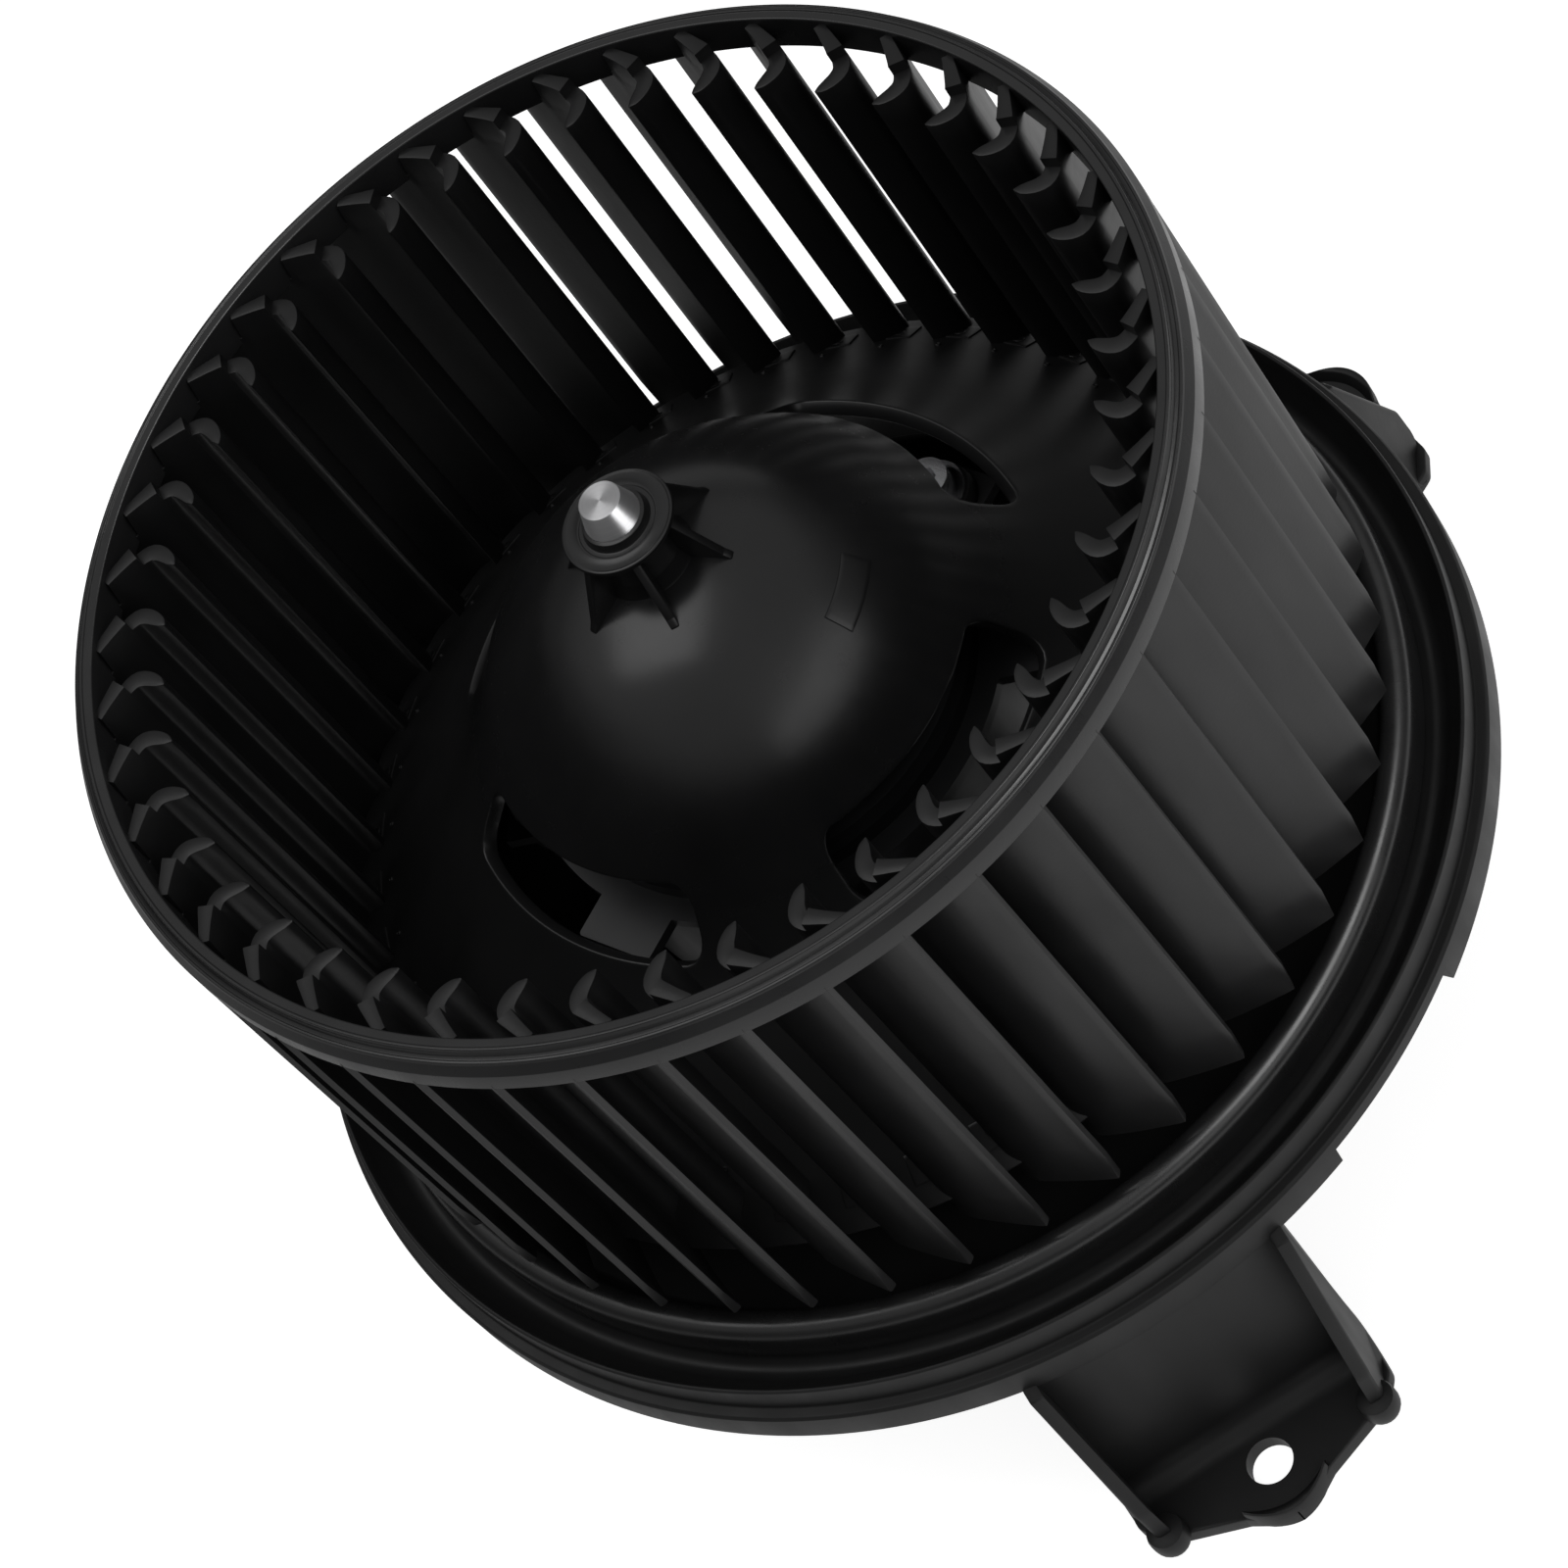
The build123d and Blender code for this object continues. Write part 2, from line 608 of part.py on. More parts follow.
def mounting_flange():
    """Ring with rounded ridge, seal groove, skirt, deck, motor cup and arms."""
    body = turned([
        (CUP_IN, CUP_LOW + 2.4),
        (CUP_IN, 48.0),
        (CUP_OUT, 48.0),
        (CUP_OUT, DECK_TOP),
        (70.6, DECK_TOP),
        (72.0, 43.2),
        (72.4, 45.4),
        (72.9, 46.5),
        (74.1, 47.1),
        (75.2, 46.5),
        (75.8, 45.2),
        (76.2, 39.6),
        (77.0, 38.9),
        (78.2, 39.2),
        (80.9, 42.6),
        (81.4, 43.3),
        (81.9, 43.5),
        (PILOT_R, 43.1),
        (PILOT_R, 38.9),
        (83.9, 38.9),
        (SKIRT_R, 38.6),
        (SKIRT_R, SKIRT_LOW),
        (SKIRT_R - 2.2, SKIRT_LOW),
        (SKIRT_R - 2.6, 36.6),
        (74.4, 36.6),
        (73.6, 38.0),
        (71.0, DECK_TOP - DECK_T),
        (CUP_OUT, DECK_TOP - DECK_T),
        (CUP_OUT, CUP_LOW + 1.2),
        (CUP_OUT - 1.2, CUP_LOW),
        (0, CUP_LOW),
        (0, CUP_LOW + 2.4),
    ])
    post = Pos(POST_R, 0, 30) * Cylinder(4.6, EAR_Z - 4.0 - 30, align=BASE)
    posts = ring_of(post, 3, EAR_PHASE)
    rib = block(CUP_OUT - 0.8, 75.0, -0.9, 0.9, 30.0, DECK_TOP - 1.0)
    ribs = ring_of(rib, 12, 0)
    fence = tube(58.6, 57.0, DECK_TOP - 1.0, DECK_TOP + 3.2)
    body = body.fuse(*posts, *ribs, fence)
    body -= tube(CUP_IN, 0, CUP_LOW + 2.4, 60.0)
    for turn in (EAR_PHASE, EAR_PHASE + 120, EAR_PHASE + 240):
        spot = polar(POST_R, turn)
        body -= Pos(spot[0], spot[1], 42.0) * Cylinder(SCREW_R, 30, align=BASE)
    vent = sector(40.0, 54.0, 9.0, 28.0, 50.0, 2.0)
    for turn in (75, 105, 195, 225, -45, -15):
        body -= Rot(0, 0, turn) * vent
    body = body.fuse(*ring_of(arm(), ARM_COUNT, ARM_PHASE))
    body -= Rot(0, 0, 90) * block(30.0, 37.8, -8.2, 8.2, CUP_LOW + 2.4, 15.0)
    step = sector(SKIRT_R - 3.2, SKIRT_R + 2, STEP_HALF, SKIRT_LOW - 1, SKIRT_STEP)
    for cut in ring_of(step, ARM_COUNT, STEP_PHASE):
        body -= cut
    return body


def main():
    os.makedirs(OUT, exist_ok=True)
    pieces = {
        "blower_wheel": blower_wheel,
        "motor_shaft": motor_shaft,
        "armature_core": armature_core,
        "armature_windings": armature_windings,
        "commutator_hub": commutator_hub,
        "commutator_bars": commutator_bars,
        "thrust_washers": thrust_washers,
        "motor_can": motor_can,
        "ferrite_magnets": ferrite_magnets,
        "magnet_springs": magnet_springs,
        "shaft_spacers": shaft_spacers,
        "upper_bearing": lambda: bearing(84.4, 89.4),
        "lower_bearing": lambda: bearing(5.2, 10.4),
        "upper_bearing_retainer": lambda: retainer(83.35, 84.15),
        "lower_bearing_retainer": lambda: retainer(11.45, 10.65),
        "oil_felts": oil_felts,
        "end_plate": end_plate,
        "brush_card": brush_card,
        "brush_boxes": brush_boxes,
        "carbon_brushes": carbon_brushes,
        "brush_springs": brush_springs,
        "choke_cores": choke_cores,
        "choke_coils": choke_coils,
        "terminal_blades": terminal_blades,
        "connector_housing": connector_housing,
        "motor_bracket": motor_bracket,
        "rubber_grommets": rubber_grommets,
        "bracket_screws": bracket_screws,
        "rubber_sleeve": rubber_sleeve,
        "mounting_flange": mounting_flange,
    }
    for name, make in pieces.items():
        made = make()
        if isinstance(made, list):
            made = Compound(children=[s for shape in made for s in shape.solids()])
        save(name, made)


main()
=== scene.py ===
"""Blower motor wheel on its motor and mounting flange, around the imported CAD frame.

Metres, +Z along the wheel axis.  The drawing dimensions below are millimetres.
"""
import json
import math

import bmesh
import bpy
import numpy as np
from mathutils import Matrix, Vector


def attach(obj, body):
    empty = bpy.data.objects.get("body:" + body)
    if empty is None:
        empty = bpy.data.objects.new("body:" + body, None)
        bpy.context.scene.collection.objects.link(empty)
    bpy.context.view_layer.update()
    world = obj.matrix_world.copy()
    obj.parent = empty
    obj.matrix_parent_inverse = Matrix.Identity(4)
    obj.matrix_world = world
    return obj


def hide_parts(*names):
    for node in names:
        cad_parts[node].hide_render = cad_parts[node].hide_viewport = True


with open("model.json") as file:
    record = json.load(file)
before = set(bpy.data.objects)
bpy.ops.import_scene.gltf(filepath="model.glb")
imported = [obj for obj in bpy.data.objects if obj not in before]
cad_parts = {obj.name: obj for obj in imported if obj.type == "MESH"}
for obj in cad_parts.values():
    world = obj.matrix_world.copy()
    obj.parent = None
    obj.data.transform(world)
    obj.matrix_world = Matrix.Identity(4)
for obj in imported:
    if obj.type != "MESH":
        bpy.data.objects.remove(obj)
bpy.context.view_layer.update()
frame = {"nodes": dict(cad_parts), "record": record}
MM = 0.001
SCENE = bpy.context.scene

# ---------------------------------------------------------------- dimensions
BLADES = 44
BLADE_PHASE = -82.35
BLADE_TOP = 120.5
NECK_TOP = 122.2
BLADE_LOW = 51.3
BLADE_LEAN = 0.55
RIM_LOW = 117.3
NECK_R = 67.9
HELD_R = 71.3
BEAD_LOW = 121.5
# radius, turn from the tip in degrees, thickness
BLADE_LINE = [
    (62.5, -0.15, 0.7), (63.6, -1.05, 1.7), (65.0, -1.8, 2.2), (66.3, -2.0, 2.4),
    (67.6, -1.4, 2.3), (69.2, 0.1, 2.0), (71.2, 2.1, 1.7), (73.2, 4.05, 1.4), (75.2, 5.9, 1.1),
]
# lower edge of a blade: radius, height
BLADE_FOOT = [(60.5, 57.5), (66.0, 51.2), (74.0, 51.2), (74.5, 51.4), (74.7, 51.9), (74.9, 60.0)]
HUB_LINE = [
    (0.0, 111.7), (5.0, 111.4), (11.0, 110.2), (17.0, 107.6), (23.0, 103.0), (29.0, 96.6), (34.0, 89.4),
    (41.1, 80.9), (50.0, 72.6), (58.0, 65.5), (64.4, 60.4), (68.5, 57.3),
]
HUB_WALL = 2.1
WINDOWS = 4
WINDOW_PHASE = -62.0
WINDOW_MID_R = 37.5
WINDOW_HALF = 30.0
WINDOW_HIGH = 3.55
WINDOW_CORNER = 2.6
GUSSETS = 6
GUSSET_PHASE = -36.0
SKIRT_R = 84.15
SKIRT_LOW = 33.5
STEP_LOW = 36.6
STEP_HALF = 9.3
STEP_PHASE = -59.8
RIDGE_IN, RIDGE_OUT, RIDGE_LOW = 71.5, 77.0, 40.6
ARMS = 3
ARM_PHASE = -90.0
ARM_HALF = 19.3
PAD_TOP = 2.6
BOLT_R = 91.3
BOLT_HOLE_R = 3.2
ARM_BEND = 3.4


# ---------------------------------------------------------------- mesh helpers
def spline(points, count):
    """Smooth curve through the points, evenly stepped (centripetal Catmull-Rom)."""
    p = [np.array(q, float) for q in points]
    p = [2 * p[0] - p[1]] + p + [2 * p[-1] - p[-2]]
    found = []
    for i in range(1, len(p) - 2):
        p0, p1, p2, p3 = p[i - 1:i + 3]
        t = [0.0]
        for a, b in ((p0, p1), (p1, p2), (p2, p3)):
            t.append(t[-1] + max(np.linalg.norm(b - a), 1e-9) ** 0.5)
        for u in np.linspace(t[1], t[2], 12, endpoint=False):
            a1 = (t[1] - u) / (t[1] - t[0]) * p0 + (u - t[0]) / (t[1] - t[0]) * p1
            a2 = (t[2] - u) / (t[2] - t[1]) * p1 + (u - t[1]) / (t[2] - t[1]) * p2
            a3 = (t[3] - u) / (t[3] - t[2]) * p2 + (u - t[2]) / (t[3] - t[2]) * p3
            b1 = (t[2] - u) / (t[2] - t[0]) * a1 + (u - t[0]) / (t[2] - t[0]) * a2
            b2 = (t[3] - u) / (t[3] - t[1]) * a2 + (u - t[1]) / (t[3] - t[1]) * a3
            found.append((t[2] - u) / (t[2] - t[1]) * b1 + (u - t[1]) / (t[2] - t[1]) * b2)
    found.append(p[-2])
    found = np.array(found)
    run = np.concatenate([[0], np.cumsum(np.linalg.norm(np.diff(found, axis=0), axis=1))])
    want = np.linspace(0, run[-1], count)
    return np.stack([np.interp(want, run, found[:, k]) for k in range(found.shape[1])], axis=1)


def filleted(corners, steps=4, close=True):
    """Outline through (x, y, radius) corners with the corners rounded."""
    found = []
    n = len(corners)
    for i, (x, y, r) in enumerate(corners):
        here = Vector((x, y))
        if r <= 0 or (not close and i in (0, n - 1)):
            found.append((x, y))
            continue
        back = Vector(corners[i - 1][:2]) - here
        ahead = Vector(corners[(i + 1) % n][:2]) - here
        half = back.angle(ahead) / 2
        cut = min(r / math.tan(half), back.length * 0.48, ahead.length * 0.48)
        r = cut * math.tan(half)
        start = here + back.normalized() * cut
        end = here + ahead.normalized() * cut
        centre = here + (back.normalized() + ahead.normalized()).normalized() * (r / math.sin(half))
        a0 = start - centre
        turn = a0.angle_signed(end - centre)
        for k in range(steps + 1):
            a = -turn * k / steps
            c, s = math.cos(a), math.sin(a)
            found.append((centre.x + a0.x * c - a0.y * s, centre.y + a0.x * s + a0.y * c))
    return found


def loft(loops, round_about=True, caps=False, ends=False):
    """Vertices and faces joining equal loops; ends joins the last loop to the first."""
    count = len(loops[0])
    verts = [tuple(v) for loop in loops for v in loop]
    faces = []
    rows = len(loops)
    for j in range(rows if ends else rows - 1):
        a, b = j * count, (j + 1) % rows * count
        for i in range(count if round_about else count - 1):
            k = (i + 1) % count
            faces.append((a + i, a + k, b + k, b + i))
    if caps:
        faces.append(tuple(range(count))[::-1])
        faces.append(tuple((rows - 1) * count + i for i in range(count)))
    return verts, faces


def lathe(outline, segments, angles=None):
    """Closed (radius, height) outline turned about Z."""
    if angles is None:
        angles = [360.0 * i / segments for i in range(segments)]
    loops = []
    for a in angles:
        c, s = math.cos(math.radians(a)), math.sin(math.radians(a))
        loops.append([(r * c, r * s, z) for r, z in outline])
    return loft(loops, ends=True)


def joined(parts):
    """One vertex and face list from several."""
    verts, faces = [], []
    for v, f in parts:
        base = len(verts)
        verts += list(v)
        faces += [tuple(base + i for i in face) for face in f]
    return verts, faces


def turned_copies(part, count, phase=0.0):
    """Copies of a part spaced round the axis."""
    v = np.array(part[0])
    found = []
    for i in range(count):
        a = math.radians(phase + 360.0 * i / count)
        c, s = math.cos(a), math.sin(a)
        spun = np.stack([v[:, 0] * c - v[:, 1] * s, v[:, 0] * s + v[:, 1] * c, v[:, 2]], axis=1)
        found.append((spun.tolist(), part[1]))
    return joined(found)


def moved(part, matrix):
    return [tuple(matrix @ Vector(v)) for v in part[0]], part[1]


def prism(outline, low, high, bevel=0.3, steps=2):
    """Upright plate with rounded upper and lower edges from an (x, y) outline."""
    pts = np.array(outline, float)
    area = 0.5 * np.sum(pts[:, 0] * np.roll(pts[:, 1], -1) - np.roll(pts[:, 0], -1) * pts[:, 1])
    if area < 0:
        pts = pts[::-1]
    ahead = np.roll(pts, -1, axis=0) - pts
    ahead /= np.linalg.norm(ahead, axis=1)[:, None] + 1e-12
    back = np.roll(ahead, 1, axis=0)
    normal = np.stack([ahead[:, 1] + back[:, 1], -ahead[:, 0] - back[:, 0]], axis=1)
    length = np.linalg.norm(normal, axis=1)[:, None]
    normal = normal / length * np.minimum(2 / length, 2.0)
    loops = []
    levels = [(bevel * (1 - math.sin(k / steps * math.pi / 2)), low + bevel * (1 - math.cos(k / steps * math.pi / 2)))
              for k in range(steps + 1)]
    levels += [(inset, high + low - z) for inset, z in levels[::-1]]
    for inset, z in levels:
        flat = pts - normal * inset
        loops.append([(x, y, z) for x, y in flat])
    return loft(loops, caps=True)


def piece(name, part, material, body, sharp=32.0, scale=MM):
    """Object from a vertex and face list, riding on a body."""
    mesh = bpy.data.meshes.new(name)
    mesh.from_pydata([(x * scale, y * scale, z * scale) for x, y, z in part[0]], [], part[1])
    obj = bpy.data.objects.new(name, mesh)
    SCENE.collection.objects.link(obj)
    work = bmesh.new()
    work.from_mesh(mesh)
    bmesh.ops.remove_doubles(work, verts=work.verts, dist=2e-6)
    bmesh.ops.recalc_face_normals(work, faces=work.faces)
    work.to_mesh(mesh)
    work.free()
    mesh.shade_smooth()
    mesh.set_sharp_from_angle(angle=math.radians(sharp))
    mesh.materials.append(material)
    if body:
        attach(obj, body)
    return obj


def cut_by(obj, cutters, sharp=32.0):
    """Takes cutter shapes away from a piece for good."""
    tool = piece(obj.name + "_tool", joined(cutters), obj.data.materials[0], None)
    mod = obj.modifiers.new("cut", "BOOLEAN")
    mod.operation = "DIFFERENCE"
    mod.solver = "EXACT"
    mod.object = tool
    bpy.context.view_layer.update()
    done = bpy.data.meshes.new_from_object(obj.evaluated_get(bpy.context.evaluated_depsgraph_get()))
    obj.modifiers.clear()
    obj.data = done
    bpy.data.objects.remove(tool)
    done.shade_smooth()
    done.set_sharp_from_angle(angle=math.radians(sharp))
    return obj


# ---------------------------------------------------------------- materials
def shader(name):
    mat = bpy.data.materials.new(name)
    mat.use_nodes = True
    nodes = mat.node_tree.nodes
    return mat, nodes, mat.node_tree.links, nodes["Principled BSDF"]


def noise(nodes, links, coord, scale, detail=3.0, stretch=(1, 1, 1), rough=0.55):
    mapping = nodes.new("ShaderNodeMapping")
    mapping.inputs["Scale"].default_value = stretch
    links.new(coord, mapping.inputs["Vector"])
    tex = nodes.new("ShaderNodeTexNoise")
    tex.inputs["Scale"].default_value = scale
    tex.inputs["Detail"].default_value = detail
    tex.inputs["Roughness"].default_value = rough
    links.new(mapping.outputs["Vector"], tex.inputs["Vector"])
    return tex.outputs["Fac"]


def ramp(nodes, links, value, stops):
    node = nodes.new("ShaderNodeValToRGB")
    elements = node.color_ramp.elements
    while len(elements) > len(stops):
        elements.remove(elements[-1])
    while len(elements) < len(stops):
        elements.new(0.5)
    for element, (at, colour) in zip(elements, stops):
        element.position = at
        element.color = (*colour, 1.0)
    links.new(value, node.inputs["Fac"])
    return node.outputs["Color"]


def spread(nodes, links, value, low, high):
    node = nodes.new("ShaderNodeMapRange")
    node.inputs["From Min"].default_value = 0.3
    node.inputs["From Max"].default_value = 0.7
    node.inputs["To Min"].default_value = low
    node.inputs["To Max"].default_value = high
    links.new(value, node.inputs["Value"])
    return node.outputs["Result"]


def shade(value, colour):
    return tuple(min(1.0, c * value) for c in colour)


def moulded(name, colour, rough, grain=1800.0, depth=0.00002, streak=0.0, metal=0.0, spec=0.5,
            spread_by=0.06, stain=0.35):
    """Satin surface: fine grain in the height, slow drift in the colour and the gloss."""
    mat, nodes, links, bsdf = shader(name)
    coord = nodes.new("ShaderNodeTexCoord").outputs["Object"]
    slow = noise(nodes, links, coord, 45.0, 4.0)
    fine = noise(nodes, links, coord, grain, 2.0, rough=0.6)
    links.new(ramp(nodes, links, slow, [
        (0.25, shade(1 - stain, colour)), (0.5, colour), (0.8, shade(1 + stain, colour))]), bsdf.inputs["Base Color"])
    mottled = noise(nodes, links, coord, 160.0, 5.0, (1, 1, 0.25))
    links.new(spread(nodes, links, mottled, rough - spread_by, rough + spread_by), bsdf.inputs["Roughness"])
    bsdf.inputs["Metallic"].default_value = metal
    bsdf.inputs["Specular IOR Level"].default_value = spec
    bump = nodes.new("ShaderNodeBump")
    bump.inputs["Strength"].default_value = 0.5
    bump.inputs["Distance"].default_value = depth
    links.new(fine, bump.inputs["Height"])
    last = bump
    if streak:
        lines = noise(nodes, links, coord, 900.0, 2.0, (1, 1, 0.02))
        drawn = nodes.new("ShaderNodeBump")
        drawn.inputs["Strength"].default_value = streak
        drawn.inputs["Distance"].default_value = 0.00003
        links.new(lines, drawn.inputs["Height"])
        links.new(bump.outputs["Normal"], drawn.inputs["Normal"])
        last = drawn
    links.new(last.outputs["Normal"], bsdf.inputs["Normal"])
    return mat


def glossy_dome(name, colour, rough, outer_rough):
    """Moulded hub: polished middle that grows satin towards the blades, with a cloudy haze."""
    mat = moulded(name, colour, rough, grain=900.0, depth=0.000006, spread_by=0.03)
    nodes, links = mat.node_tree.nodes, mat.node_tree.links
    bsdf = nodes["Principled BSDF"]
    coord = nodes.new("ShaderNodeTexCoord").outputs["Object"]
    flat = nodes.new("ShaderNodeVectorMath")
    flat.operation = "MULTIPLY"
    flat.inputs[1].default_value = (1, 1, 0)
    links.new(coord, flat.inputs[0])
    length = nodes.new("ShaderNodeVectorMath")
    length.operation = "LENGTH"
    links.new(flat.outputs["Vector"], length.inputs[0])
    gloss = nodes.new("ShaderNodeMapRange")
    gloss.inputs["From Min"].default_value = 0.036
    gloss.inputs["From Max"].default_value = 0.050
    gloss.inputs["To Min"].default_value = rough
    gloss.inputs["To Max"].default_value = outer_rough
    links.new(length.outputs["Value"], gloss.inputs["Value"])
    haze = noise(nodes, links, coord, 260.0, 6.0, rough=0.7)
    both = nodes.new("ShaderNodeMath")
    both.operation = "MULTIPLY_ADD"
    links.new(haze, both.inputs[0])
    both.inputs[1].default_value = 0.10
    links.new(gloss.outputs["Result"], both.inputs[2])
    links.new(both.outputs["Value"], bsdf.inputs["Roughness"])
    return mat


def lathed(name, colour, rough, pitch=9000.0):
    """Turned metal: rings about Z on flat ends and fine feed marks along the length."""
    mat, nodes, links, bsdf = shader(name)
    coord = nodes.new("ShaderNodeTexCoord").outputs["Object"]
    flat = nodes.new("ShaderNodeVectorMath")
    flat.operation = "MULTIPLY"
    flat.inputs[1].default_value = (1, 1, 0)
    links.new(coord, flat.inputs[0])
    length = nodes.new("ShaderNodeVectorMath")
    length.operation = "LENGTH"
    links.new(flat.outputs["Vector"], length.inputs[0])
    split = nodes.new("ShaderNodeSeparateXYZ")
    links.new(coord, split.inputs["Vector"])
    both = nodes.new("ShaderNodeMath")
    both.operation = "ADD"
    links.new(length.outputs["Value"], both.inputs[0])
    links.new(split.outputs["Z"], both.inputs[1])
    wave = nodes.new("ShaderNodeTexNoise")
    wave.noise_dimensions = "1D"
    wave.inputs["Scale"].default_value = pitch
    wave.inputs["Detail"].default_value = 3.0
    links.new(both.outputs["Value"], wave.inputs["W"])
    links.new(ramp(nodes, links, wave.outputs["Fac"], [
        (0.3, shade(0.9, colour)), (0.6, colour), (0.8, shade(1.08, colour))]), bsdf.inputs["Base Color"])
    links.new(spread(nodes, links, wave.outputs["Fac"], rough - 0.03, rough + 0.03), bsdf.inputs["Roughness"])
    bsdf.inputs["Metallic"].default_value = 1.0
    bsdf.inputs["Anisotropic"].default_value = 0.9
    bsdf.inputs["Anisotropic Rotation"].default_value = 0.25
    round_z = nodes.new("ShaderNodeTangent")
    round_z.direction_type = "RADIAL"
    round_z.axis = "Z"
    links.new(round_z.outputs["Tangent"], bsdf.inputs["Tangent"])
    bump = nodes.new("ShaderNodeBump")
    bump.inputs["Strength"].default_value = 0.12
    bump.inputs["Distance"].default_value = 0.00001
    links.new(wave.outputs["Fac"], bump.inputs["Height"])
    links.new(bump.outputs["Normal"], bsdf.inputs["Normal"])
    return mat


def banded(name, colour, other, rough, step, metal=0.0, along="Z"):
    """Stacked or wound material: fine bands along one axis."""
    mat, nodes, links, bsdf = shader(name)
    coord = nodes.new("ShaderNodeTexCoord").outputs["Object"]
    wave = nodes.new("ShaderNodeTexWave")
    wave.bands_direction = along
    wave.inputs["Scale"].default_value = step
    wave.inputs["Distortion"].default_value = 0.6
    wave.inputs["Detail"].default_value = 1.0
    links.new(coord, wave.inputs["Vector"])
    links.new(ramp(nodes, links, wave.outputs["Fac"], [(0.2, other), (0.6, colour)]), bsdf.inputs["Base Color"])
    slow = noise(nodes, links, coord, 120.0, 3.0)
    links.new(spread(nodes, links, slow, rough - 0.08, rough + 0.08), bsdf.inputs["Roughness"])
    bsdf.inputs["Metallic"].default_value = metal
    bump = nodes.new("ShaderNodeBump")
    bump.inputs["Strength"].default_value = 0.5
    bump.inputs["Distance"].default_value = 0.00008
    links.new(wave.outputs["Fac"], bump.inputs["Height"])
    links.new(bump.outputs["Normal"], bsdf.inputs["Normal"])
    return mat


WHEEL = moulded("wheel_satin", (0.0115, 0.0115, 0.0118), 0.36, streak=0.25, spec=0.36)
RIM_FINISH = moulded("rim_satin", (0.0115, 0.0115, 0.0118), 0.30, spec=0.30)
DOME = glossy_dome("wheel_gloss", (0.0105, 0.0105, 0.0108), 0.21, 0.42)
FLANGE = moulded("flange_satin", (0.0115, 0.0115, 0.0117), 0.46, grain=1500.0, spec=0.34)
RIDGE = moulded("flange_ridge_gloss", (0.0115, 0.0115, 0.0117), 0.28, grain=1500.0, depth=0.000008, spec=0.5)
BEAD = moulded("rim_bead_gloss", (0.0115, 0.0115, 0.0117), 0.24, depth=0.000008, spec=0.45)
FINISHES = {
    "shaft_steel": lathed("shaft_turned", (0.64, 0.64, 0.65), 0.43),
    "lamination_steel": banded("laminations", (0.36, 0.36, 0.38), (0.10, 0.10, 0.11), 0.45, 320.0, 1.0),
    "enamelled_copper": banded("enamelled_wire", (0.55, 0.20, 0.07), (0.22, 0.06, 0.02), 0.30, 500.0, 0.6),
    "commutator_copper": lathed("commutator_copper", (0.80, 0.43, 0.26), 0.30, 5000.0),
    "phenolic": moulded("phenolic", (0.12, 0.06, 0.03), 0.45),
    "fibre": moulded("fibre", (0.42, 0.27, 0.15), 0.75, grain=2500.0, depth=0.00004),
    "ferrite": moulded("ferrite", (0.075, 0.075, 0.080), 0.62, grain=2600.0, depth=0.00005),
    "can_steel": moulded("can_coated", (0.030, 0.031, 0.033), 0.42, metal=0.6, streak=0.5),
    "bracket_steel": moulded("bracket_coated", (0.026, 0.026, 0.027), 0.42, grain=900.0, stain=0.2),
    "spring_steel": lathed("spring_steel", (0.60, 0.60, 0.62), 0.32, 4000.0),
    "sintered_bronze": moulded("sintered_bronze", (0.50, 0.33, 0.16), 0.50, metal=0.8, grain=3000.0, depth=0.00005),
    "oil_felt": moulded("oil_felt", (0.46, 0.38, 0.25), 0.90, grain=2200.0, depth=0.0001),
    "card_plastic": moulded("card_plastic", (0.50, 0.47, 0.40), 0.48),
    "brass": lathed("brass", (0.72, 0.53, 0.24), 0.30, 3000.0),
    "carbon": moulded("carbon", (0.035, 0.035, 0.036), 0.58, grain=3000.0, depth=0.00003),
    "terminal_brass": moulded("terminal_tinned", (0.62, 0.58, 0.50), 0.30, metal=0.9),
    "connector_plastic": moulded("connector_satin", (0.020, 0.020, 0.021), 0.42),
    "black_rubber": moulded("black_rubber", (0.016, 0.016, 0.016), 0.68, grain=1400.0, depth=0.00005),
    "screw_steel": lathed("screw_zinc", (0.66, 0.66, 0.68), 0.24, 7000.0),
}


# ---------------------------------------------------------------- wheel
def dome_height():
    """Height and slope of the hub's upper surface by radius."""
    line = spline(HUB_LINE, 240)
    slope = np.gradient(line[:, 1], line[:, 0])

    def look(r):
        return float(np.interp(r, line[:, 0], line[:, 1])), float(np.interp(r, line[:, 0], slope))
    return look


DOME_AT = dome_height()


def on_dome(r, turn, depth):
    """Point at a depth below the hub's upper surface, square to it."""
    z, slope = DOME_AT(r)
    run = math.hypot(1, slope)
    rr = r + slope / run * depth
    a = math.radians(turn)
    return (rr * math.cos(a), rr * math.sin(a), z - depth / run)


def window_loop(grow, counts):
    """Rounded outline of a window, matched to the quarter's border: (radius, turn)."""
    a = math.radians(WINDOW_HALF) * WINDOW_MID_R + grow
    b = WINDOW_HIGH + grow
    c = WINDOW_CORNER + grow
    centres = [(-a + c, -b + c), (a - c, -b + c), (a - c, b - c), (-a + c, b - c)]
    loop = []
    for side in range(4):
        nxt = (side + 1) % 4
        path = []
        base = math.radians(225 + 90 * side)
        for s in range(7):
            t = base + math.radians(45) * s / 6
            path.append((centres[side][0] + c * math.cos(t), centres[side][1] + c * math.sin(t)))
        for s in range(7):
            t = base + math.radians(45) + math.radians(45) * s / 6
            path.append((centres[nxt][0] + c * math.cos(t), centres[nxt][1] + c * math.sin(t)))
        path = np.array(path)
        run = np.concatenate([[0], np.cumsum(np.linalg.norm(np.diff(path, axis=0), axis=1))])
        want = np.linspace(0, run[-1], counts[side], endpoint=False)
        for x, y in zip(np.interp(want, run, path[:, 0]), np.interp(want, run, path[:, 1])):
            loop.append((WINDOW_MID_R + y, math.degrees(x / WINDOW_MID_R)))
    return loop


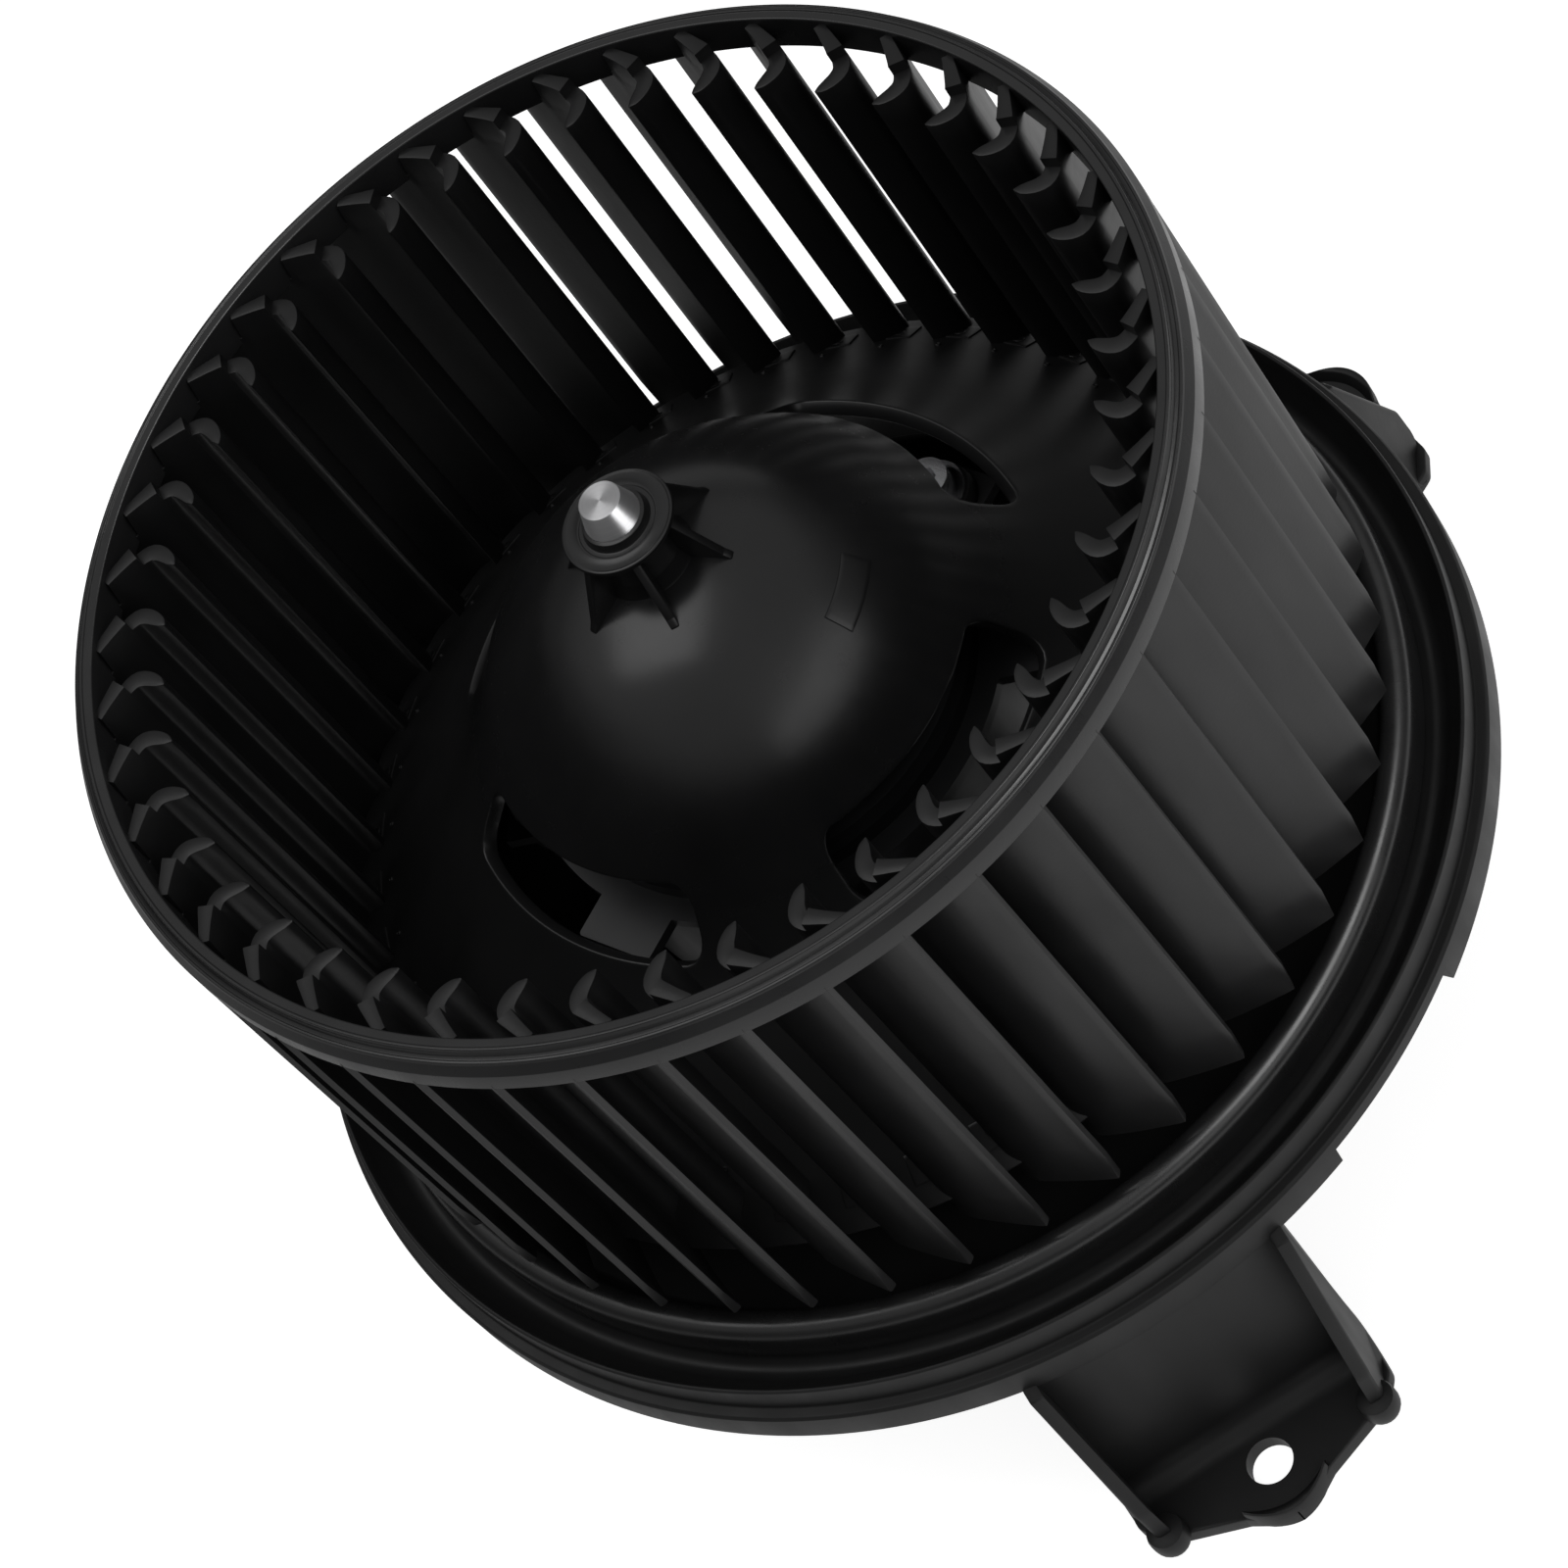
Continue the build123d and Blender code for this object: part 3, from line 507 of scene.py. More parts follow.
def hub_shell():
    """Dome with four windows, rounded edges and an even wall."""
    across, up = 40, 10
    counts = (across, up, across, up)
    r_in, r_out = 30.0, 45.5
    border = []
    border += [(r_in, -45 + 90 * i / across) for i in range(across)]
    border += [(r_in + (r_out - r_in) * i / up, 45) for i in range(up)]
    border += [(r_out, 45 - 90 * i / across) for i in range(across)]
    border += [(r_out - (r_out - r_in) * i / up, -45) for i in range(up)]
    edge = 0.22
    lip = window_loop(edge, counts)
    rows = []
    shares = [1.0, 0.82, 0.64, 0.46, 0.3, 0.16, 0.06, 0.0]
    for share in shares:
        rows.append(([(a[0] * (1 - share) + b[0] * share, a[1] * (1 - share) + b[1] * share)
                      for a, b in zip(lip, border)], 0.0))
    for k in (1, 2, 3):
        t = math.radians(30 * k)
        rows.append((window_loop(edge * (1 - math.sin(t)), counts), edge * (1 - math.cos(t))))
    for k in (0, 1, 2):
        t = math.radians(90 - 30 * k)
        rows.append((window_loop(edge * (1 - math.sin(t)), counts), HUB_WALL - edge * (1 - math.cos(t))))
    for share in shares[::-1]:
        rows.append(([(a[0] * (1 - share) + b[0] * share, a[1] * (1 - share) + b[1] * share)
                      for a, b in zip(lip, border)], HUB_WALL))
    loops = [[on_dome(r, t, depth) for r, t in loop] for loop, depth in rows]
    quarter = turned_copies(loft(loops), WINDOWS, WINDOW_PHASE)
    turns = [WINDOW_PHASE - 45 + 360 * i / (4 * across) for i in range(4 * across)]
    inner = np.linspace(3.7, r_in, 26)
    outer = np.linspace(r_out, 68.5, 26)
    parts = [quarter]
    for radii in (inner, outer):
        for depth in (0.0, HUB_WALL):
            parts.append(loft([[on_dome(r, t, depth) for t in turns] for r in radii]))
    bore = [[on_dome(3.7, t, d) for t in turns] for d in (0.0, HUB_WALL)]
    parts.append(loft(bore))
    lip_loops = []
    for k in range(7):
        a = math.pi * k / 6
        d = HUB_WALL / 2 * (1 - math.cos(a))
        lip_loops.append([on_dome(68.5 + 0.45 * math.sin(a), t, d) for t in turns])
    parts.append(loft(lip_loops))
    return joined(parts)


def boss():
    """Stem and collar round the shaft."""
    outline = filleted([
        (3.75, 96.5, 0.0), (6.4, 96.5, 0.3), (6.7, 108.6, 0.0), (7.3, 109.6, 0.0), (6.3, 111.4, 1.0),
        (5.7, 113.4, 1.2), (5.7, 117.7, 0.9), (6.4, 118.5, 0.25), (7.45, 118.75, 0.25), (7.5, 119.5, 0.2),
        (7.2, 119.6, 0.1), (7.0, 119.48, 0.1), (5.5, 119.44, 0.0), (5.4, 119.5, 0.06), (5.2, 119.5, 0.06),
        (5.1, 119.42, 0.0), (4.55, 119.45, 0.15), (4.2, 120.6, 0.12), (3.74, 120.72, 0.0),
    ])
    return lathe(outline, 96)


def gusset():
    """Thin web from the collar down to the dome, in the XZ plane."""
    outline = filleted([
        (5.2, 109.0, 0), (11.2, 108.6, 0), (11.5, 110.1, 0.5), (10.7, 111.1, 0.5), (6.8, 118.55, 0.4),
        (5.2, 118.55, 0)], 3)
    flat = prism(outline, -0.6, 0.6, 0.22)
    return moved(flat, Matrix(((1, 0, 0, 0), (0, 0, 1, 0), (0, 1, 0, 0), (0, 0, 0, 1))))


def under_web():
    """Stiffening web below the dome."""
    outline = filleted([(5.6, 98.4, 0), (7.2, 98.4, 0.6), (20.0, 103.2, 0.6), (17.5, 105.6, 0), (5.6, 109.0, 0)], 3)
    flat = prism(outline, -0.7, 0.7, 0.2)
    return moved(flat, Matrix(((1, 0, 0, 0), (0, 0, 1, 0), (0, 1, 0, 0), (0, 0, 0, 1))))


def dome_patch(r0, r1, t0, t1, rise, edge, nr=10, nt=14):
    """Low raised patch that follows the dome, with a rounded border."""
    loops = []
    for grow, depth in ((0.0, 0.25), (0.0, -rise * 0.55), (-edge * 0.3, -rise * 0.9), (-edge, -rise)):
        turn = math.degrees(grow / ((r0 + r1) / 2))
        a, b, c, d = r0 - grow, r1 + grow, t0 - turn, t1 + turn
        ring = [(a, c + (d - c) * i / nt) for i in range(nt)]
        ring += [(a + (b - a) * i / nr, d) for i in range(nr)]
        ring += [(b, d - (d - c) * i / nt) for i in range(nt)]
        ring += [(b - (b - a) * i / nr, c) for i in range(nr)]
        loops.append([on_dome(r, t, depth) for r, t in ring])
    parts = [loft(loops)]
    a, b = r0 + edge, r1 - edge
    turn = math.degrees(edge / ((r0 + r1) / 2))
    grid = [[on_dome(a + (b - a) * j / nr, t0 + turn + (t1 - t0 - 2 * turn) * i / nt, -rise)
             for i in range(nt + 1)] for j in range(nr + 1)]
    parts.append(loft(grid, round_about=False))
    return joined(parts)


def stud(r, turn, radius, rise, depth=0.4):
    """Small ejector dot standing on the dome."""
    slope = DOME_AT(r)[1]
    run = math.hypot(1, slope)
    a = math.radians(turn)
    normal = Vector((-slope / run * math.cos(a), -slope / run * math.sin(a), 1 / run))
    base = Vector(on_dome(r, turn, 0.0))
    side = normal.orthogonal().normalized()
    other = normal.cross(side)
    loops = []
    for size, high in ((1, -depth), (1, rise * 0.55), (0.93, rise * 0.86), (0.8, rise), (0.72, rise),
                       (0.62, rise * 0.62), (0.3, rise * 0.5), (0.05, rise * 0.5)):
        loops.append([tuple(base + normal * high + (side * math.cos(t) + other * math.sin(t)) * radius * size)
                      for t in np.linspace(0, 2 * math.pi, 16, endpoint=False)])
    return loft(loops, caps=True)


def blade_foot(r):
    return float(np.interp(r, [p[0] for p in BLADE_FOOT], [p[1] for p in BLADE_FOOT]))


def blade():
    """Crescent blade with a slimmer neck under the ring and rounded free edges."""
    line = spline(BLADE_LINE, 34)
    line = np.concatenate([line, [(67.85, *[np.interp(67.85, line[:, 0], line[:, k]) for k in (1, 2)]),
                                  (68.0, *[np.interp(68.0, line[:, 0], line[:, k]) for k in (1, 2)])]])
    line = line[np.argsort(line[:, 0])]
    line = line[line[:, 0] < 74.92]
    angle = np.radians(line[:, 1])
    mid = np.stack([line[:, 0] * np.cos(angle), line[:, 0] * np.sin(angle)], axis=1)
    along = np.gradient(mid, axis=0)
    along /= np.linalg.norm(along, axis=1)[:, None]
    across = np.stack([-along[:, 1], along[:, 0]], axis=1)
    half = line[:, 2] / 2
    half[0] *= 0.35
    half[1] *= 0.85
    half[-1] *= 0.7
    radius = line[:, 0]
    low = np.array([blade_foot(r) for r in radius])
    neck = radius > NECK_R
    held = radius > HELD_R
    top = np.where(neck, NECK_TOP, BLADE_TOP)
    top = np.where(held, RIM_LOW + 1.0, top)
    slim_half = np.where(neck & ~held, half * np.interp(radius, [68.0, HELD_R], [1.0, 0.85]), half)

    def ring(z, trim, use_half):
        reach = across * np.maximum(use_half - trim, 0.05)[:, None]
        front, back = mid + reach, mid - reach
        points = np.concatenate([front, back[::-1]])
        heights = np.concatenate([z, z[::-1]])
        return [(x, y, h) for (x, y), h in zip(points, heights)]

    levels = [
        ring(low, 0.30, half), ring(low + 0.08, 0.12, half), ring(low + 0.3, 0.0, half),
        ring(np.full_like(half, 60.0).clip(low + 0.4), 0.0, half),
        ring(np.full_like(half, 90.0), 0.0, half), ring(np.full_like(half, 115.6), 0.0, half),
        ring(np.full_like(half, 116.6), 0.0, (half + slim_half) / 2),
        ring(np.full_like(half, 117.2), 0.0, slim_half),
        ring(top - 0.12, 0.0, slim_half), ring(top - 0.03, 0.04, slim_half),
        ring(top, 0.12, slim_half),
    ]
    verts, faces = loft(levels)
    leaning = []
    for x, y, z in verts:
        a = math.radians(BLADE_LEAN * min(1.0, max(0.0, (RIM_LOW - z) / (RIM_LOW - BLADE_LOW))))
        leaning.append((x * math.cos(a) - y * math.sin(a), x * math.sin(a) + y * math.cos(a), z))
    verts = leaning
    n = len(half)
    m = 2 * n
    last = (len(levels) - 1) * m
    for i in range(n - 1):
        faces.append((i, i + 1, m - 2 - i, m - 1 - i))
        faces.append((last + i, last + m - 1 - i, last + m - 2 - i, last + i + 1))
    return verts, faces


RIM = filleted([
    (71.15, 117.3, 0.15), (71.25, 123.08, 0.25), (72.45, 123.08, 0.1), (72.6, 123.28, 0.12), (72.92, 123.28, 0.16),
    (73.08, 122.75, 0.15), (73.3, 122.3, 0.15), (73.72, 122.1, 0.1), (73.86, 122.25, 0.12), (74.14, 122.2, 0.16),
    (74.3, 121.85, 0.12), (75.08, 120.5, 0.25), (75.1, 117.3, 0.25)], 5)
rim = piece("wheel_rim", lathe(RIM, 396), RIM_FINISH, "rotor", 40)
rim.data.materials.append(BEAD)
for face in rim.data.polygons:
    if face.center.z > BEAD_LOW * MM:
        face.material_index = 1
blades = piece("wheel_blades", turned_copies(blade(), BLADES, BLADE_PHASE), WHEEL, "rotor", 38)
hub_parts = [hub_shell(), boss(), turned_copies(gusset(), GUSSETS, GUSSET_PHASE),
             turned_copies(under_web(), GUSSETS, GUSSET_PHASE), dome_patch(22.6, 25.4, -50.0, -27.0, 0.22, 0.12)]
for i in range(BLADES):
    t = BLADE_PHASE + BLADE_LEAN + 360.0 / BLADES * i
    hub_parts.append(stud(64.35, t - 2.9, 0.95, 0.32))
    hub_parts.append(stud(60.6, t - 2.1, 0.38, 0.22))
    hub_parts.append(dome_patch(63.0, 66.2, t - 5.0, t - 1.3, 0.22, 0.25, 4, 6))
hub = piece("wheel_hub", joined(hub_parts), DOME, "rotor", 36)
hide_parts("blower_wheel")

SHAFT = filleted([
    (0.02, 6.0, 0), (3.1, 6.0, 0.1), (3.6, 6.5, 0.1), (3.6, 118.5, 0.0), (3.72, 118.7, 0.0), (3.72, 120.95, 0.08),
    (2.8, 124.35, 0.12), (0.02, 124.35, 0)])
shaft = piece("shaft_end", lathe(SHAFT, 96), FINISHES["shaft_steel"], "rotor", 40)
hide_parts("motor_shaft")


# ---------------------------------------------------------------- flange
def flange_angles():
    """Even turns with close pairs where the skirt's lower edge steps."""
    found = [float(a) for a in np.arange(0, 360, 1.25)]
    for i in range(ARMS):
        for side in (-1, 1):
            a = (STEP_PHASE + 120 * i + side * STEP_HALF) % 360
            found += [a - 0.06, a + 0.06]
    return sorted(found)


def flange_ring():
    ridge = [(74.1 + 2.2 * math.sin(t), 44.92 + 2.2 * math.cos(t), 0) for t in np.radians(np.arange(-78, 85, 9))]
    outline = filleted([
        (35.5, 42.0, 0.4), (70.4, 42.0, 1.0), (71.7, 43.2, 0.9)] + ridge + [
        (76.2, 40.4, 1.2), (77.3, 38.95, 1.3), (78.9, 39.5, 2.0), (80.9, 42.0, 2.0),
        (81.9, 43.5, 0.5), (82.4, 43.2, 0.3), (82.45, 38.95, 0.3), (83.8, 38.9, 0.3), (84.17, 38.45, 0.2),
        (SKIRT_R, SKIRT_LOW, 0.25), (82.0, SKIRT_LOW, 0.25), (81.6, STEP_LOW, 0.5), (74.4, STEP_LOW, 0.6),
        (73.2, 38.4, 0.6),
        (71.0, 39.5, 0.6), (35.5, 39.5, 0.3)], 4)
    angles = flange_angles()
    loops = []
    for a in angles:
        off = min(abs((a - STEP_PHASE - 120 * i + 180) % 360 - 180) for i in range(ARMS))
        c, s = math.cos(math.radians(a)), math.sin(math.radians(a))
        loop = []
        for r, z in outline:
            if r > 81.5 and z < STEP_LOW and off < STEP_HALF:
                z = STEP_LOW + (z - SKIRT_LOW) * 0.05
            loop.append((r * c, r * s, z))
        loops.append(loop)
    return loft(loops, ends=True)


def cup():
    """Round well that holds the motor."""
    outline = filleted([
        (0.02, 0.6, 0), (35.5, 0.6, 1.6), (35.5, 48.0, 0.5), (33.0, 48.0, 0.5), (33.0, 3.0, 0.8), (0.02, 3.0, 0)])
    return lathe(outline, 144)


def upright(outline, half, bevel=0.3):
    """Plate in the XZ plane, half on each side."""
    flat = prism(outline, -half, half, bevel)
    return moved(flat, Matrix(((1, 0, 0, 0), (0, 0, 1, 0), (0, 1, 0, 0), (0, 0, 0, 1))))


PAD_TIP = 99.75
PAD_OUTLINE = filleted([(86.0, ARM_HALF, 0), (89.4, ARM_HALF, 2.0), (92.6, 17.1, 1.6), (96.6, 6.6, 0.3),
                        (97.9, 4.65, 0)], 6, close=False)
PAD_OUTLINE += [(PAD_TIP - y * y / 12, y) for y in (4.0, 3.3, 2.6, 2.0, 1.4, 0.9, 0.45)]


def arm_sheet():
    """Hanging wall bent out into the pointed pad: one slab along X, centred on Y."""
    path = [(82.9, 37.8), (83.0, 34.0), (83.15, 30.0), (83.35, 25.0), (83.6, 20.0), (83.85, 15.0), (84.05, 10.5)]
    centre = (84.1 + ARM_BEND, PAD_TOP + ARM_BEND)
    for k in range(0, 9):
        a = math.radians(180 + 90 * k / 8)
        path.append((centre[0] + ARM_BEND * math.cos(a), centre[1] + ARM_BEND * math.sin(a)))
    path += [(x, PAD_TOP) for x in (88.0, 88.6)]
    wide = [ARM_HALF - 0.15] * len(path)
    for x, w in PAD_OUTLINE:
        if x > 89.0:
            path.append((x, PAD_TOP))
            wide.append(w - 0.15)
    path = np.array(path)
    along = np.gradient(path, axis=0)
    along[path[:, 0] > 87.6] = (1, 0)
    along /= np.linalg.norm(along, axis=1)[:, None]
    normal = np.stack([-along[:, 1], along[:, 0]], axis=1)
    thick, edge = 2.6, 0.4
    loops = []
    for (x, z), (nx, nz), w in zip(path, normal, wide):
        lean = min(1.0, max(0.0, (z - 10.0) / 20.0))
        lean = lean * lean * (3 - 2 * lean)
        top = [(-w + edge * (1 - math.sin(t)), edge * (1 - math.cos(t))) for t in np.radians([90, 60, 30, 0])]
        top += [(y, 0.0) for y in np.linspace(-w + edge, w - edge, 25)[1:-1]]
        top += [(-y, d) for y, d in top[3::-1]]
        loop = []
        for y, depth in top + [(y, thick - d) for y, d in top[::-1]]:
            sag = (84.2 - math.sqrt(84.2 ** 2 - y * y)) * lean
            loop.append((x - sag - nx * depth, y, z - nz * depth))
        loops.append(loop)
    return loft(loops, caps=True)


def corner_bulb(side):
    """Round-ended stub under a corner of the pad."""
    loops = []
    for r, z in [(2.7 * math.sin(t), 2.7 - 2.65 * math.cos(t)) for t in np.linspace(0.02, math.pi / 2, 7)] + [
            (2.7, 4.2), (2.5, 4.9), (1.8, 5.2), (0.02, 5.25)]:
        loops.append([(92.9 + r * math.cos(t), side * 15.9 + r * math.sin(t), z)
                      for t in np.linspace(0, 2 * math.pi, 24, endpoint=False)])
    return loft(loops, caps=True)


def tip_lip():
    """Raised curved band along the point of the pad."""
    loops = []
    for y in np.linspace(-6.2, 6.2, 25):
        edge, inner = PAD_TIP - y * y / 12, PAD_TIP - 2.1 - y * y / 17
        loops.append([(x, y, z) for x, z in (
            (inner, 1.8), (inner, 2.55), (inner + 0.15, 2.75), (inner + 0.85, 3.7), (inner + 1.1, 3.85),
            (edge - 0.45, 3.9), (edge - 0.15, 3.78), (edge - 0.03, 3.45), (edge - 0.03, 1.2))])
    return loft(loops, caps=True)


def arm_trim(inward, stubs):
    """Side webs that draw in past the bend, the lip at the tip and, on the front arm, the corner stubs."""
    parts = [tip_lip()]
    side = filleted([
        (81.8, 34.2, 0), (83.9, 33.3, 0.6), (93.0, 10.6, 5.0), (94.0, 3.4, 2.2), (92.8, 1.2, 0.8),
        (88.0, 0.6, 1.5), (83.4, 5.0, 2.5), (81.8, 14.0, 0)], 6)
    for s in (-1, 1):
        verts, faces = upright(side, 1.0, 0.35)
        verts = [(x, s * (ARM_HALF - 1.1 - inward * max(0.0, x - 89.2)) + y, z) for x, y, z in verts]
        parts.append((verts, faces))
        if stubs:
            parts.append(corner_bulb(s))
    return joined(parts)


ring = piece("flange_ring", flange_ring(), FLANGE, "stator", 34)


def slot_cutter(r0, r1, half, low, high, count=14):
    """Block between two radii, centred on +X."""
    pts = [(r0, -half + 2 * half * i / count) for i in range(count + 1)]
    pts += [(r1, half - 2 * half * i / count) for i in range(count + 1)]
    flat = [(r * math.cos(math.radians(a)), r * math.sin(math.radians(a))) for r, a in pts]
    return loft([[(x, y, low) for x, y in flat], [(x, y, high) for x, y in flat]], caps=True)


cut_by(ring, [turned_copies(slot_cutter(40, 54, 9, 28, 50), 1, t) for t in (75, 105, 195, 225, -45, -15)], 34)


def split_ridge(obj):
    """Moves the faces of the ridge to a piece of their own with a glossier finish."""
    other = obj.copy()
    other.data = obj.data.copy()
    other.name = other.data.name = "flange_ridge"
    other.data.materials[0] = RIDGE
    SCENE.collection.objects.link(other)
    for half, keep in ((obj, False), (other, True)):
        work = bmesh.new()
        work.from_mesh(half.data)
        gone = []
        for face in work.faces:
            spot = face.calc_center_median() / MM
            inside = RIDGE_IN < math.hypot(spot.x, spot.y) < RIDGE_OUT and spot.z > RIDGE_LOW
            if inside != keep:
                gone.append(face)
        bmesh.ops.delete(work, geom=gone, context="FACES")
        work.to_mesh(half.data)
        work.free()
    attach(other, "stator")
    return other


ridge = split_ridge(ring)
RIB = filleted([(35.0, 30.0, 0), (74.2, 30.0, 1.0), (74.9, 37.5, 0.5), (71.5, 40.8, 0), (35.0, 40.8, 0)])
ribs = upright(RIB, 0.9, 0.2)
post = lathe(filleted([(1.95, 31, 0), (4.6, 31, 0), (4.4, 57.6, 0.4), (4.0, 58.0, 0.2), (1.95, 58.0, 0)]), 40)
posts = [moved(post, Matrix.Translation((37.5, 0, 0)))]
fence = lathe(filleted([(57.0, 41.0, 0), (58.6, 41.0, 0), (58.5, 45.2, 0.4), (57.1, 45.2, 0.4)]), 180)
piece("flange_deck_ribs", joined([
    turned_copies(ribs, 12), turned_copies(joined(posts), 3, 34), fence]), FLANGE, "stator", 34)
well = piece("flange_motor_cup", cup(), FLANGE, "stator", 34)
lead_way = prism([(30, -8.2), (37.8, -8.2), (37.8, 8.2), (30, 8.2)], 3.0, 15.0, 0.05)
cut_by(well, [moved(lead_way, Matrix.Rotation(math.pi / 2, 4, "Z"))], 34)
arms = piece("flange_arms", turned_copies(arm_sheet(), ARMS, ARM_PHASE), FLANGE, "stator", 34)
around = np.linspace(0, 2 * math.pi, 48, False)
drill = loft([[(BOLT_HOLE_R * math.cos(t), BOLT_HOLE_R * math.sin(t), z) for t in around]
              for z in (-2.0, 8.0)], caps=True)
cut_by(arms, [turned_copies(moved(drill, Matrix.Translation((BOLT_R, 0, 0))), ARMS, ARM_PHASE)], 34)
trims = [turned_copies(arm_trim(0.50, True), 1, ARM_PHASE)]
trims += [turned_copies(arm_trim(1.05, False), 1, ARM_PHASE + t) for t in (120, 240)]
piece("flange_arm_trim", joined(trims), FLANGE, "stator", 30)
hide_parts("mounting_flange")


# ---------------------------------------------------------------- carried-over CAD pieces
SLOT_OF = {s["node"]: s["material_slot"] for s in frame["record"]["subparts"]}
for name, node in frame["nodes"].items():
    finish = FINISHES.get(SLOT_OF[name])
    if finish is None:
        continue
    node.data.materials.clear()
    node.data.materials.append(finish)


# ---------------------------------------------------------------- setting
def floor_sheet():
    """Pale floor: bright to the camera, and to other rays dark at the far left and behind, bright at the right."""
    mat, nodes, links, bsdf = shader("studio_floor")
    coord = nodes.new("ShaderNodeTexCoord").outputs["Object"]
    soft = noise(nodes, links, coord, 3.0, 2.0)
    pale = ramp(nodes, links, soft, [(0.3, (0.60, 0.60, 0.60)), (0.7, (0.62, 0.62, 0.62))])
    bsdf.inputs["Roughness"].default_value = 0.9
    bsdf.inputs["Specular IOR Level"].default_value = 0.1
    bsdf.inputs["Emission Color"].default_value = (1, 1, 1, 1)
    seen = nodes.new("ShaderNodeLightPath").outputs["Is Camera Ray"]
    side = nodes.new("ShaderNodeVectorMath")
    side.operation = "DOT_PRODUCT"
    side.inputs[1].default_value = (0.87, -0.5, 0)
    links.new(coord, side.inputs[0])
    lit = nodes.new("ShaderNodeMapRange")
    lit.inputs["From Min"].default_value = -0.10
    lit.inputs["From Max"].default_value = 0.13
    lit.inputs["To Min"].default_value = 0.04
    lit.inputs["To Max"].default_value = 0.68
    links.new(side.outputs["Value"], lit.inputs["Value"])
    glow = nodes.new("ShaderNodeMapRange")
    links.new(lit.outputs["Result"], glow.inputs["To Min"])
    glow.inputs["To Max"].default_value = 0.88
    links.new(seen, glow.inputs["Value"])
    away = nodes.new("ShaderNodeVectorMath")
    away.operation = "DOT_PRODUCT"
    away.inputs[1].default_value = (0.25, 0.97, 0)
    links.new(coord, away.inputs[0])
    dim = nodes.new("ShaderNodeMapRange")
    dim.inputs["From Min"].default_value = 0.10
    dim.inputs["From Max"].default_value = 0.26
    dim.inputs["To Min"].default_value = 1.0
    dim.inputs["To Max"].default_value = 0.08
    links.new(away.outputs["Value"], dim.inputs["Value"])
    share = nodes.new("ShaderNodeMath")
    share.operation = "MAXIMUM"
    links.new(dim.outputs["Result"], share.inputs[0])
    links.new(seen, share.inputs[1])
    toned = nodes.new("ShaderNodeVectorMath")
    toned.operation = "SCALE"
    links.new(pale, toned.inputs[0])
    links.new(share.outputs["Value"], toned.inputs["Scale"])
    links.new(toned.outputs["Vector"], bsdf.inputs["Base Color"])
    links.new(glow.outputs["Result"], bsdf.inputs["Emission Strength"])
    size = 6.0
    mesh = bpy.data.meshes.new("floor")
    mesh.from_pydata([(-size, -size, 0), (size, -size, 0), (size, size, 0), (-size, size, 0)], [], [(0, 1, 2, 3)])
    obj = bpy.data.objects.new("floor", mesh)
    mesh.materials.append(mat)
    SCENE.collection.objects.link(obj)
    return obj


floor_sheet()


def softbox(name, turn, rise, distance, wide, high, power, target=(0, 0, 0.09)):
    """Area light at a turn and a rise, facing the part."""
    data = bpy.data.lights.new(name, "AREA")
    data.shape = "RECTANGLE"
    data.size, data.size_y = wide, high
    data.energy = power
    obj = bpy.data.objects.new(name, data)
    a, e = math.radians(turn), math.radians(rise)
    back = Vector((math.cos(a) * math.cos(e), math.sin(a) * math.cos(e), math.sin(e)))
    obj.location = Vector(target) + back * distance
    obj.rotation_euler = back.to_track_quat("Z", "Y").to_euler()
    SCENE.collection.objects.link(obj)
    return obj


softbox("key_left", 150, 72, 1.3, 0.80, 0.85, 3.2)
softbox("key_right", -56, 31, 1.3, 1.45, 0.46, 2.4)


def only_on(light, lit, unshaded=False):
    """Keeps a light to some pieces; unshaded lets nothing else throw a shadow in it."""
    chosen = bpy.data.collections.new(light.name + "_receivers")
    for obj in lit:
        chosen.objects.link(obj)
    light.light_linking.receiver_collection = chosen
    if unshaded:
        light.light_linking.blocker_collection = chosen


only_on(softbox("ridge_strip", -25, 62, 1.5, 1.20, 0.55, 12.0), (ridge, rim))
only_on(softbox("dome_fill", 80, 14, 1.3, 1.30, 0.62, 0.85), (hub,), True)
only_on(softbox("shaft_glint", -60, 2, 0.5, 0.32, 0.25, 2.0, (0, 0, 0.1225)), (shaft,), True)

